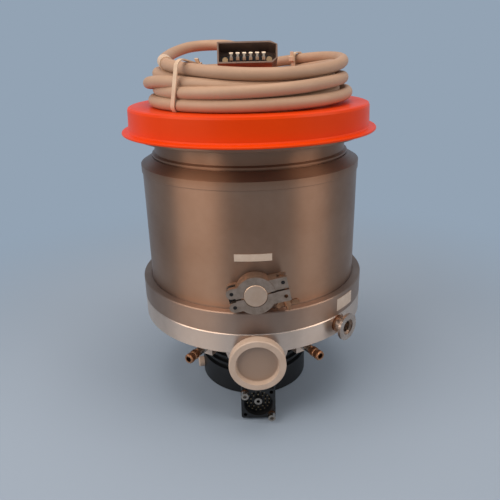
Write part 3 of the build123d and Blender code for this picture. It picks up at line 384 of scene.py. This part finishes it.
# ---- surfaces ------------------------------------------------------------------------------------
@dataclass
class Route:
    """A line in space that profiles are carried along."""

    points: np.ndarray

    @classmethod
    def straight(cls, start: Sequence[float], direction: Sequence[float], length: float) -> "Route":
        """A straight line from a point.

        Args:
            start: First point.
            direction: Unit vector.
            length: Length of the line.

        Returns:
            The route.
        """
        a = np.array(start, float)
        return cls(np.stack([a, a + np.array(direction, float) * length]))

    @classmethod
    def of_curve(cls, curve: bpy.types.Object) -> "Route":
        """The line that a curve object really follows.

        Args:
            curve: Curve object whose spline is read with its thickness taken off.

        Returns:
            The route, in the order of the spline.
        """
        depth, curve.data.bevel_depth = curve.data.bevel_depth, 0.0
        bpy.context.view_layer.update()
        shape = curve.evaluated_get(bpy.context.evaluated_depsgraph_get())
        mesh = bpy.data.meshes.new_from_object(shape)
        flat = np.empty(len(mesh.vertices) * 3)
        mesh.vertices.foreach_get("co", flat)
        bpy.data.meshes.remove(mesh)
        curve.data.bevel_depth = depth
        return cls(flat.reshape(-1, 3))

    @property
    def stations(self) -> np.ndarray:
        """Distance along the line of each of its points."""
        steps = np.linalg.norm(np.diff(self.points, axis=0), axis=1)
        return np.concatenate([[0.0], np.cumsum(steps)])

    @property
    def length(self) -> float:
        """Length of the whole line."""
        return float(self.stations[-1])

    def nearest(self, point: Sequence[float]) -> float:
        """Distance along the line of its point nearest to another, in metres."""
        return float(self.stations[np.argmin(np.linalg.norm(self.points - np.array(point), axis=1))])

    def crown(self, angle: float, within: float = 4.0, outside: float = 0.07) -> float:
        """Greatest height of the line near an angle.

        Args:
            angle: Degrees from +X.
            within: Degrees to either side that count as near.
            outside: Distance from the axis past which the line is looked at, in metres.

        Returns:
            Height in metres.
        """
        x, y, height = self.points.T
        turn = np.degrees(np.arctan2(y, x)) - angle
        near = (np.abs((turn + 180) % 360 - 180) < within) & (np.hypot(x, y) > outside)
        return float(height[near].max())

    def at(self, s: np.ndarray) -> np.ndarray:
        """Points at distances along the line, carried on straight past its ends.

        Args:
            s: Distances.

        Returns:
            Array of the points, one row for each distance.
        """
        stations, points = self.stations, self.points
        inside = np.stack([np.interp(s, stations, points[:, k]) for k in range(3)], axis=-1)
        first = (points[1] - points[0]) / (stations[1] - stations[0])
        last = (points[-1] - points[-2]) / (stations[-1] - stations[-2])
        before, after = np.minimum(s, 0.0)[..., None], np.maximum(s - stations[-1], 0.0)[..., None]
        return inside + before * first + after * last

    def frames(self, s: np.ndarray) -> tuple[np.ndarray, np.ndarray, np.ndarray]:
        """Places and cross directions at distances along the line.

        Args:
            s: Distances.

        Returns:
            Centres, and two unit vectors square to the line: level, and as near to up as it allows.
        """
        h = 0.5 * MM
        along = self.at(s + h) - self.at(s - h)
        along /= np.linalg.norm(along, axis=-1, keepdims=True)
        level = np.cross(along, (0.0, 0.0, 1.0))
        level /= np.linalg.norm(level, axis=-1, keepdims=True)
        return self.at(s), level, np.cross(level, along)

    def carry(self, profile: np.ndarray, sides: int, ripple: np.ndarray | None = None) -> np.ndarray:
        """Closed ring surface: a closed profile turned round the line.

        Point (i, j) is centre(s_i) + (r_i + ripple_ij) (cos t_j level + sin t_j up), with t_j going
        once round.

        Args:
            profile: Rows of distance along the line and radius.
            sides: Points round the line.
            ripple: Addition to the radius at each row and side.

        Returns:
            Array of rows x sides x 3.
        """
        centre, level, up = self.frames(profile[:, 0])
        turn = np.linspace(0, 2 * pi, sides, endpoint=False)
        radius = profile[:, 1, None] + (0 if ripple is None else ripple)
        ring = np.cos(turn)[None, :, None] * level[:, None] + np.sin(turn)[None, :, None] * up[:, None]
        return centre[:, None] + radius[..., None] * ring


def ring_faces(rows: int, columns: int, first: int = 0) -> np.ndarray:
    """Quads of a grid that closes on itself both ways.

    Args:
        rows: Rows of the grid.
        columns: Columns of the grid.
        first: Number of the grid's first vertex.

    Returns:
        Array of quads.
    """
    i, j = np.meshgrid(np.arange(rows), np.arange(columns), indexing="ij")
    i2, j2 = (i + 1) % rows, (j + 1) % columns
    quads = np.stack([i * columns + j, i * columns + j2, i2 * columns + j2, i2 * columns + j], axis=-1)
    return quads.reshape(-1, 4) + first


@dataclass
class Piece:
    """One visible piece, gathered from closed surfaces before it is made a mesh object."""

    name: str
    body: str
    slot: str
    finish: Finish
    sharp: float = 35.0         # edges that turn more than this many degrees stay sharp
    points: list[np.ndarray] = field(default_factory=list)
    faces: list[list[int]] = field(default_factory=list)

    def add_grid(self, grid: np.ndarray, capped: bool = False) -> None:
        """Add one grid of points as a closed surface.

        Args:
            grid: Rows x columns x 3. Each row closes round.
            capped: True for a bar, closed by a face at either end, and False where the last row joins
                the first.
        """
        rows, columns = grid.shape[:2]
        first = sum(len(p) for p in self.points)
        quads = ring_faces(rows, columns, first)
        if capped:
            quads = quads[:(rows - 1) * columns]
            ends = np.arange(columns) + first
            self.faces += [ends[::-1].tolist(), (ends + (rows - 1) * columns).tolist()]
        self.faces += quads.tolist()
        self.points.append(grid.reshape(-1, 3))

    def build(self, replaces: Sequence[str] = ()) -> bpy.types.Object:
        """Make the object, its normals, finish and body.

        Args:
            replaces: CAD nodes that the piece stands for.

        Returns:
            The mesh object, at the origin.
        """
        mesh = bpy.data.meshes.new(self.name)
        mesh.from_pydata(np.concatenate(self.points).tolist(), [], self.faces)
        face_out(mesh)
        mesh.polygons.foreach_set("use_smooth", np.ones(len(mesh.polygons), bool))
        mesh.set_sharp_from_angle(angle=radians(self.sharp))
        mesh.materials.append(self.finish.material())
        made = bpy.data.objects.new(self.name, mesh)
        bpy.context.scene.collection.objects.link(made)
        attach(made, self.body)
        if replaces:
            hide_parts(*replaces)
        LOG.info("piece %s on %s, %d faces", self.name, self.body, len(mesh.polygons))
        return made


def face_out(mesh: bpy.types.Mesh) -> None:
    """Turn every face of closed shells outward.

    Args:
        mesh: Mesh that is changed in place.
    """
    work = bmesh.new()
    work.from_mesh(mesh)
    bmesh.ops.recalc_face_normals(work, faces=work.faces)
    work.to_mesh(mesh)
    work.free()
    mesh.update()


# ---- camera --------------------------------------------------------------------------------------
@dataclass(frozen=True)
class Camera:
    """Camera in front of the pump, a little above the cable, looking down at it."""

    place: Point = (-0.002, -0.600, 0.3967)
    pitch_down: float = 21.22       # degrees
    roll: float = -1.4              # degrees about its own line of sight
    lens_mm: float = 37.57
    sensor_mm: float = 36.0

    def build(self) -> bpy.types.Object:
        """Make the camera and set it as the scene's.

        Returns:
            The camera object.
        """
        data = bpy.data.cameras.new("camera")
        data.lens = self.lens_mm
        data.sensor_width = self.sensor_mm
        data.clip_start, data.clip_end = 0.01, 60.0
        made = bpy.data.objects.new("camera", data)
        bpy.context.scene.collection.objects.link(made)
        tilt = Matrix.Rotation(radians(90 - self.pitch_down), 4, "X")
        roll = Matrix.Rotation(radians(self.roll), 4, "Z")
        made.matrix_world = Matrix.Translation(self.place) @ tilt @ roll
        bpy.context.scene.camera = made
        LOG.info("camera at %s", self.place)
        return made


# ---- drive cable ---------------------------------------------------------------------------------
@dataclass(frozen=True)
class Tie:
    """Nylon tie pulled round the whole bundle of turns. Its sizes are in millimetres.

    Its loop is a rounded rectangle in the upright plane at an angle: each corner is a quarter circle and
    the sides run straight between them. The top slopes and the outer side falls back, as the bundle does.
    """

    name: str
    angle: float            # degrees from +X
    low: float              # height of the loop's underside above the cap
    over_crown: float       # height of its top above the middle of the highest turn there
    inner: float            # least distance from the axis
    outer: float            # greatest distance from the axis
    lean: float             # degrees that the loop leans along the bundle
    dip: float              # how far the top falls from its outer side to its inner one
    bulge: float            # how far the outer side falls back toward the top
    head: int               # place of the head on the loop, counted from its outer side upward
    corner: float = 6.0
    per_corner: int = 7
    half_width: float = 2.4
    thickness: float = 1.3
    head_half: tuple[float, float] = (3.2, 2.9)
    head_layers: tuple[tuple[float, float], ...] = ((1.0, 0.6), (1.6, 0.0), (4.6, 0.0), (5.2, 0.6))
    tail_half: float = 2.2
    tail_rise: tuple[float, float] = (2.4, 3.6)
    tail_reach: tuple[float, ...] = (2.0, 6.0, 8.0)

    def loop(self, high: float) -> tuple[np.ndarray, np.ndarray]:
        """Inner face of the loop.

        Args:
            high: Height of its top above the cap.

        Returns:
            Points as distance from the axis and height, and the directions outward from them.
        """
        right, left = self.outer - self.corner, self.inner + self.corner
        top, bottom = high - self.corner, self.low + self.corner
        centres = np.array(((right, top), (left, top), (left, bottom), (right, bottom)))
        quarter = np.linspace(0, pi / 2, self.per_corner)
        turn = np.concatenate([quarter + k * pi / 2 for k in range(4)])
        out = np.stack([np.cos(turn), np.sin(turn)], axis=1)
        points = np.repeat(centres, self.per_corner, axis=0) + self.corner * out
        wide, tall = self.outer - self.inner, high - self.low
        rise = np.clip((points[:, 1] - (self.low + high) / 2) / tall * 2, 0.0, 1.0)
        points[:, 0] -= self.bulge * rise ** 2 * (points[:, 0] - self.inner) / wide
        points[:, 1] -= self.dip * (self.outer - points[:, 0]) / wide * (points[:, 1] - self.low) / tall
        return points, out

    def build(self, route: Route, cap_top: float) -> bpy.types.Object:
        """Make the loop, its head and its cut tail.

        Args:
            route: The cable's line.
            cap_top: Height of the cap's top in metres.

        Returns:
            The piece.
        """
        high = (route.crown(self.angle) - cap_top) / MM + self.over_crown
        points, out = self.loop(high)
        theta = radians(self.angle)
        away, along = np.array([cos(theta), sin(theta), 0]), np.array([-sin(theta), cos(theta), 0])
        slope = np.tan(radians(self.lean)) * (points[:, 1] - (self.low + high) / 2)
        centre = (points[:, :1] * away + slope[:, None] * along) * MM
        centre[:, 2] = cap_top + points[:, 1] * MM
        normal = out[:, :1] * away + out[:, 1:] * np.array([0, 0, 1])
        width, thick = self.half_width, self.thickness
        section = ((-width, 0), (-width, thick), (width, thick), (width, 0))
        piece = Piece(self.name, "drive_cable", "white_plastic", WHITE_NYLON)
        piece.add_grid(np.stack([centre + (u * along + v * normal) * MM for u, v in section], axis=1))
        # The head is a short bevelled block, and the tail is cut off close to it.
        here, up = centre[self.head], normal[self.head]
        side = np.cross(along, up)
        x_half, y_half = self.head_half
        block = [[here + (x * (x_half - inset) * along + y * (y_half - inset) * side + rise * up) * MM
                  for x, y in CORNERS] for rise, inset in self.head_layers]
        piece.add_grid(np.array(block), capped=True)
        tail = [[here + (x * self.tail_half * along + reach * side + self.tail_rise[y > 0] * up) * MM
                 for x, y in CORNERS] for reach in self.tail_reach]
        piece.add_grid(np.array(tail), capped=True)
        return piece.build()


@dataclass(frozen=True)
class PlugTabs:
    """Folded contacts across the mouth of the flat plug. Sizes of the strip are in millimetres.

    Each is a strip that comes out of the block, turns up, narrows, and ends in a wider lip bent back.
    """

    hood_at: Point = (0.0, -0.0880, 0.3834)     # lower front edge of the hood
    hood_lean: float = -20.0                     # degrees that its mouth is tipped up
    count: int = 6
    pitch: float = 6.0
    thickness: float = 0.7
    strip: tuple[Point, ...] = (        # depth and height of its middle, and its width
        (12.0, 1.0, 2.8), (3.8, 1.0, 2.8), (2.6, 1.8, 3.0), (2.3, 4.2, 2.8), (2.4, 6.6, 1.7),
        (3.1, 7.6, 3.4), (4.6, 8.0, 3.4))

    def build(self) -> bpy.types.Object:
        """Bend the strips and stand them in the hood.

        The section is a rectangle whose width follows the strip and whose thickness is square to it.

        Returns:
            The piece.
        """
        table = np.array(self.strip)
        line, width = table[:, :2], table[:, 2]
        run = np.gradient(line, axis=0)
        run /= np.linalg.norm(run, axis=1, keepdims=True)
        square = np.stack([-run[:, 1], run[:, 0]], axis=1) * self.thickness / 2
        lean = radians(self.hood_lean)
        piece = Piece("plug_tabs", "drive_cable", "gold_plate", TIN)
        for x in (np.arange(self.count) - (self.count - 1) / 2) * self.pitch:
            corners = np.stack([np.column_stack([x + u * width / 2, line + v * square])
                                for u, v in CORNERS], axis=1)
            across, y, z = np.moveaxis(corners, -1, 0)
            grid = np.stack([across, y * cos(lean) + z * sin(lean), z * cos(lean) - y * sin(lean)], axis=-1)
            piece.add_grid(grid * MM + np.array(self.hood_at), capped=True)
        return piece.build(["connector_blades"])


@dataclass
class DriveCable:
    """Cable with a round plug at one end and a flat hooded plug at the other, coiled on the cap."""

    radius: float = 6.0 * MM
    length: float = 3.75
    bore_mm: float = 5.9            # radius inside the sleeves, which grip the cable
    cap_top: float = 0.3404
    start_angle: float = 27.0       # degrees from +X where the first turn begins, wound clockwise
    end_angle: float = -1943.0
    points_per_turn: int = 14
    outset: float = 1.0256          # the spline cuts inside its points by this much
    # How the turns settle against each other.
    steps_per_turn: int = 36
    rounds: int = 600
    apart_mm: float = 12.4          # distance kept between the middles of two turns
    push: float = 0.25              # share of what is short of it that each turn gives way in a round
    pull: float = 0.03              # share of the way back to the wanted place
    ease: float = 0.1               # how strongly each place is drawn to its neighbours' middle
    lowest_mm: float = 6.2          # least height of the middle above the cap
    # Where each loose turn lies: angle that it has wound past +X, then distance from the axis and height
    # above the cap in millimetres. Each row is one turn: right, front, left, back and back right.
    lay: tuple[tuple[tuple[float, float, float], ...], ...] = (
        ((0, 106, 11), (85, 110.5, 6.3), (175, 100.5, 6.5), (270, 98, 6.5), (315, 96, 8)),
        ((0, 93, 15), (85, 97, 6.8), (175, 88, 7), (270, 86, 7.5), (315, 97, 20)),
        ((0, 101, 27), (45, 106, 23.5), (85, 109, 17.5), (130, 106, 15), (175, 97, 17), (270, 91.5, 19),
         (315, 87, 22)),
        ((0, 89, 27), (85, 96.5, 19), (130, 101, 26), (175, 107, 21), (270, 104, 19), (315, 97, 33)),
        ((0, 92, 38), (85, 84, 22), (175, 98, 34.5), (270, 98, 32), (315, 99, 45)),
        ((0, 104, 44), (45, 98, 33.5), (85, 97, 30.5), (118, 97, 33.5), (143, 95, 41)),
    )
    leads_from_plug: tuple[Point, ...] = (
        (0.0610, 0.0205, 0.3524), (0.0575, 0.0330, 0.3522), (0.0520, 0.0480, 0.3512),
        (0.0580, 0.0660, 0.3495), (0.0765, 0.0690, 0.3480))
    # Lead that rises in a loop behind the coil and comes forward to the hood.
    lead_to_hood: tuple[Point, ...] = (
        (-0.0870, -0.0260, 0.3862), (-0.0880, 0.0060, 0.3885), (-0.0840, 0.0360, 0.3930),
        (-0.0680, 0.0620, 0.3990), (-0.0420, 0.0700, 0.4004), (-0.0180, 0.0600, 0.3995),
        (-0.0050, 0.0330, 0.3935), (0.0, -0.0050, 0.3825), (0.0, -0.0432, 0.3777), (0.0, -0.0611, 0.3842))
    spout_mm: float = 11.0          # how far the hood's spout covers the cable's end
    marker_at: Point = (-0.082, -0.040, 0.385)
    ties: tuple[Tie, ...] = (
        Tie("tie_left", 232.0, 0.2, 10.5, 80.0, 113.5, 7.0, 8.0, 7.0, 11),
        Tie("tie_right", 51.0, 25.0, 6.9, 89.0, 106.0, 4.0, 1.0, 0.0, 13),
    )

    def wanted(self) -> tuple[np.ndarray, np.ndarray]:
        """Where the turns would lie if they took no room.

        Distance and height follow a smooth cubic through the places in lay, whose slope at each place is
        that between its neighbours.

        Returns:
            Angles in degrees, which fall evenly, and rows of distance and height in millimetres.
        """
        step = 360.0 / self.steps_per_turn
        steps = round((self.start_angle - self.end_angle) / step)
        angle = self.start_angle - np.arange(steps + 1) * step
        rows = np.array([(360.0 * turn + a, r, z) for turn, row in enumerate(self.lay) for a, r, z in row])
        wound, value = rows[:, 0], rows[:, 1:]
        slope = np.gradient(value, wound, axis=0)
        here = np.clip(-angle, wound[0], wound[-1])
        k = np.clip(np.searchsorted(wound, here, side="right") - 1, 0, len(wound) - 2)
        span = (wound[k + 1] - wound[k])[:, None]
        t = (here - wound[k])[:, None] / span
        place = ((1 + 2 * t) * (1 - t) ** 2 * value[k] + t * (1 - t) ** 2 * span * slope[k]
                 + t ** 2 * (3 - 2 * t) * value[k + 1] + t ** 2 * (t - 1) * span * slope[k + 1])
        return angle, place

    def settled(self, wanted: np.ndarray) -> np.ndarray:
        """Push apart the turns that lie nearer than the cable's thickness at the same angle.

        In each round, both turns of such a pair give way along the line between them. Every place is then
        drawn a little to where it was wanted and to its neighbours' middle, and kept off the cap.

        Args:
            wanted: Rows of distance and height in millimetres.

        Returns:
            Rows of the same kind.
        """
        place = wanted.copy()
        for _ in range(self.rounds):
            for turn in range(self.steps_per_turn, len(place), self.steps_per_turn):
                gap = place[turn:] - place[:-turn]
                reach = np.maximum(np.linalg.norm(gap, axis=1, keepdims=True), 1e-6)
                give = gap / reach * np.maximum(self.apart_mm - reach, 0.0) * self.push
                place[turn:] += give
                place[:-turn] -= give
            place += self.pull * (wanted - place)
            place[1:-1] += self.ease * (place[2:] + place[:-2] - 2 * place[1:-1])
            place[:, 1] = np.maximum(place[:, 1], self.lowest_mm)
        return place

    def coil_points(self) -> list[Point]:
        """Control points of the loose turns, evenly spaced in angle.

        Returns:
            Points in metres.
        """
        fine, wanted = self.wanted()
        place = self.settled(wanted)
        count = round((self.start_angle - self.end_angle) / 360 * self.points_per_turn)
        angle = np.linspace(self.start_angle, self.end_angle, count + 1)
        radius, height = (np.interp(-angle, -fine, place[:, i]) for i in (0, 1))
        theta, radius = np.radians(angle), radius * self.outset * MM
        return list(zip(radius * np.cos(theta), radius * np.sin(theta), self.cap_top + height * MM))

    def build_cord(self) -> bpy.types.Object:
        """Make the cable as one smooth spline through all its control points.

        Returns:
            The curve object.
        """
        points = [*self.leads_from_plug, *self.coil_points(), *self.lead_to_hood]
        data = bpy.data.curves.new("drive_cord", "CURVE")
        data.dimensions = "3D"
        data.resolution_u = 8
        data.bevel_depth = 1.0      # the points carry the cable's radius
        data.bevel_resolution = 6
        data.use_fill_caps = True
        spline = data.splines.new("NURBS")
        spline.points.add(len(points) - 1)
        for target, point in zip(spline.points, points):
            target.co, target.radius = (*point, 1.0), self.radius
        spline.order_u = 3
        spline.use_endpoint_u = True
        data.materials.append(CABLE_PVC.material())
        made = bpy.data.objects.new("drive_cord", data)
        bpy.context.scene.collection.objects.link(made)
        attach(made, "drive_cable")
        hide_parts("cable_coil", "cable_lead", "plug_lead")
        LOG.info("piece drive_cord, %d control points", len(points))
        return made

    def boot_outline(self, start: float, end: float, wide: float, narrow: float = 6.7,
                     ribs: int = 4) -> list[tuple[float, float]]:
        """Outline of a tapered, ribbed strain relief, in millimetres.

        The radius falls evenly from the housing end, less a groove of 0.55 mm between ribs. The thin end
        is left plain.

        Args:
            start: Station at the housing.
            end: Station of the thin end.
            wide: Radius at the housing.
            narrow: Radius at the thin end.
            ribs: Number of ribs.

        Returns:
            Closed outline of station and radius.
        """
        share = np.linspace(0, 1, ribs * 8 + 1)
        groove = 0.55 * np.clip(np.sin(share * ribs * 2 * pi - pi / 2), 0, 1) * (share < 0.95)
        radius = wide + (narrow - wide) * share - groove
        station = start + (end - start) * share
        return [(start, self.bore_mm), *zip(station.tolist(), radius.tolist()), (end, self.bore_mm)]

    def band_outline(self, middle: float, half: float = 8.0, radius: float = 7.2,
                     soft: float = 0.4) -> list[tuple[float, float]]:
        """Outline of a plain band round the cable, in millimetres.

        Args:
            middle: Station of its middle.
            half: Half of its width.
            radius: Its outer radius.
            soft: Width of the chamfer at its ends.

        Returns:
            Closed outline of station and radius.
        """
        a, b, r = middle - half, middle + half, radius
        return [(a, self.bore_mm), (a, r - soft), (a + soft, r), (b - soft, r), (b, r - soft),
                (b, self.bore_mm)]

    def build(self) -> None:
        cord = self.build_cord()
        route = Route.of_curve(cord)
        LOG.info("cable line %.3f m", route.length)
        spout = route.length / MM - self.spout_mm
        marker = route.nearest(self.marker_at) / MM
        sleeves = (
            ("hood_boot", self.boot_outline(spout + 0.3, spout - 30.0, 8.2), "black_plastic", BLACK_NYLON),
            ("plug_boot", self.boot_outline(-0.8, 22.0, 8.6), "black_plastic", BLACK_NYLON),
            ("marker_sleeve", self.band_outline(marker), "white_plastic", WHITE_NYLON),
        )
        extras = []
        for name, outline, slot, finish in sleeves:
            piece = Piece(name, "drive_cable", slot, finish)
            piece.add_grid(route.carry(np.array(outline) * MM, 32))
            extras.append(piece.build())
        extras += [tie.build(route, self.cap_top) for tie in self.ties]
        extras.append(PlugTabs().build())
        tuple(self.leads_from_plug[0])
        self.length


# ---- cooling-water fittings ----------------------------------------------------------------------
@dataclass
class WaterCollars:
    """Knurled brass release collars at the open ends of the two cooling-water fittings."""

    azimuth: float = 31.0           # degrees either side of the front
    height: float = 85.0 * MM
    teeth: int = 26
    depth_mm: float = 0.28          # of a groove below the outline
    crest_mm: float = 0.1           # of a tooth above it
    toothed_from_mm: float = 4.95   # radius from which the outline is toothed
    tube: float = 140.0 * MM        # length of the line that the collar stands on
    outline_mm: tuple[tuple[float, float], ...] = (
        (122.0, 3.0), (122.0, 3.95), (123.6, 3.95), (124.3, 5.0), (124.8, 5.2), (129.0, 5.2), (129.5, 5.0),
        (130.2, 4.4), (131.6, 4.4), (132.3, 5.0), (132.8, 5.2), (136.6, 5.2), (137.2, 5.05), (138.0, 4.5),
        (137.9, 3.1), (137.0, 3.0))

    def build(self) -> None:
        """Turn both collars, with straight teeth where the outline is widest.

        With c as the square of cos(teeth t / 2), a tooth adds crest c to the radius and takes off
        depth (1 - c).
        """
        piece = Piece("water_collars", "pump_body", "brass", BRASS, sharp=25.0)
        profile = np.array(self.outline_mm) * MM
        sides = self.teeth * 4
        crest = np.cos(np.linspace(0, 2 * pi, sides, endpoint=False) * self.teeth / 2) ** 2
        wide = (profile[:, 1] > self.toothed_from_mm * MM).astype(float)
        ripple = wide[:, None] * (crest * self.crest_mm * MM - (1 - crest) * self.depth_mm * MM)
        for az in (-self.azimuth, self.azimuth):
            direction = (sin(radians(az)), -cos(radians(az)), 0.0)
            route = Route.straight((0.0, 0.0, self.height), direction, self.tube)
            piece.add_grid(route.carry(profile, sides, ripple))
        piece.build(["water_nipples"])


# ---- stage ---------------------------------------------------------------------------------------
@dataclass(frozen=True)
class Lamp:
    """One soft rectangular lamp aimed at the pump."""

    name: str
    azimuth: float      # degrees from the front, positive towards +X
    elevation: float
    distance: float
    size: float
    watts: float
    colour: str = "#fff3e6"

    def build(self, aim: Vector) -> None:
        """Hang the lamp.

        Args:
            aim: Point that it faces.
        """
        data = bpy.data.lights.new(self.name, "AREA")
        data.shape, data.size, data.energy = "SQUARE", self.size, self.watts
        data.color = linear(self.colour)[:3]
        a, e = radians(self.azimuth), radians(self.elevation)
        away = Vector((sin(a) * cos(e), -cos(a) * cos(e), sin(e)))
        made = bpy.data.objects.new(self.name, data)
        made.location = aim + away * self.distance
        made.rotation_euler = away.to_track_quat("Z", "Y").to_euler()
        bpy.context.scene.collection.objects.link(made)
        LOG.info("lamp %s, %.0f W", self.name, self.watts)


@dataclass
class Stage:
    """Plain pale floor, plain surroundings and soft lamps.

    The floor is painted board: matt, with a faint cloudiness in its gloss.
    """

    floor: str = "#9cacc0"
    backdrop: str = "#93a3b4"
    ambient: str = "#f1ece6"
    ambient_strength: float = 0.34
    half: float = 12.0                          # half of the floor's side
    fade: tuple[float, float] = (0.26, 0.8)     # distance over which the floor turns into the backdrop
    aim: Point = (0.0, 0.0, 0.2)
    lamps: tuple[Lamp, ...] = (
        Lamp("key", -57, 30, 1.7, 1.5, 19.0),
        Lamp("fill", 66, 26, 1.8, 1.1, 10.0),
        Lamp("top", 10, 84, 1.5, 1.2, 13.0),
    )

    def build(self) -> None:
        """Lay the floor, set the world and hang the lamps."""
        mesh = bpy.data.meshes.new("floor")
        mesh.from_pydata([(x * self.half, y * self.half, 0) for x, y in CORNERS], [], [(0, 1, 2, 3)])
        made = bpy.data.objects.new("floor", mesh)
        bpy.context.scene.collection.objects.link(made)
        material = bpy.data.materials.new("floor_painted")
        material.use_nodes = True
        tree = material.node_tree
        tree.nodes.clear()
        place = add(tree, "ShaderNodeTexCoord").outputs["Object"]
        cloud = add(tree, "ShaderNodeTexNoise", {"Vector": place, "Scale": 2.2, "Detail": 2.0})
        rough = add(tree, "ShaderNodeMapRange", {0: cloud.outputs["Fac"], 3: 0.5, 4: 0.62})
        paint = add(tree, "ShaderNodeBsdfPrincipled", {
            "Base Color": linear(self.floor), "Roughness": rough.outputs[0], "Specular IOR Level": 0.25})
        glow = add(tree, "ShaderNodeEmission", {"Color": linear(self.backdrop), "Strength": 1.0})
        distance = add(tree, "ShaderNodeVectorMath", {0: place}, operation="LENGTH")
        far = add(tree, "ShaderNodeMapRange", {
            0: distance.outputs["Value"], 1: self.fade[0], 2: self.fade[1]},
            interpolation_type="SMOOTHSTEP")
        share = add(tree, "ShaderNodeMath", {0: far.outputs[0], 1: self.seen(tree)}, operation="MULTIPLY")
        both = add(tree, "ShaderNodeMixShader", {
            0: share.outputs[0], 1: paint.outputs[0], 2: glow.outputs[0]})
        add(tree, "ShaderNodeOutputMaterial", {"Surface": both.outputs[0]})
        mesh.materials.append(material)
        self.build_world()
        for lamp in self.lamps:
            lamp.build(Vector(self.aim))
        bpy.context.scene.view_settings.view_transform = "Standard"

    @staticmethod
    def seen(tree: bpy.types.NodeTree) -> bpy.types.NodeSocket:
        """Tell rays that show the surface from rays that only light something with it.

        Args:
            tree: Node tree that the nodes join.

        Returns:
            1 where it is seen by the camera, in a reflection or through glass, else 0.
        """
        path = add(tree, "ShaderNodeLightPath")
        direct = add(tree, "ShaderNodeMath", {
            0: path.outputs["Is Camera Ray"], 1: path.outputs["Is Glossy Ray"]}, operation="MAXIMUM")
        return add(tree, "ShaderNodeMath", {
            0: direct.outputs[0], 1: path.outputs["Is Transmission Ray"]}, operation="MAXIMUM").outputs[0]

    def build_world(self) -> None:
        """Even ambient light, with the plain backdrop shown to the camera and in reflections."""
        world = bpy.data.worlds.new("studio")
        bpy.context.scene.world = world
        world.use_nodes = True
        tree = world.node_tree
        tree.nodes.clear()
        light = add(tree, "ShaderNodeBackground", {
            "Color": linear(self.ambient), "Strength": self.ambient_strength})
        shown = add(tree, "ShaderNodeBackground", {"Color": linear(self.backdrop), "Strength": 1.0})
        both = add(tree, "ShaderNodeMixShader", {
            0: self.seen(tree), 1: light.outputs[0], 2: shown.outputs[0]})
        add(tree, "ShaderNodeOutputWorld", {"Surface": both.outputs[0]})


# ---- putting it together -------------------------------------------------------------------------
def dress_nodes() -> None:
    """Give every CAD node its finish."""
    for finish, nodes in DRESSING.items():
        for name in nodes:
            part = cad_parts[name]
            if not part.material_slots:
                part.data.materials.append(finish.material())
            for place in part.material_slots:
                place.material = finish.material()
            LOG.info("node %s: %s", name, finish.title)


def main() -> None:
    """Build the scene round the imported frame."""
    logging.basicConfig(level=logging.INFO, format="%(name)s: %(message)s")
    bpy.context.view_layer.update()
    Camera().build()
    DriveCable().build()
    WaterCollars().build()
    dress_nodes()
    Stage().build()


if __name__ == "__main__":
    main()
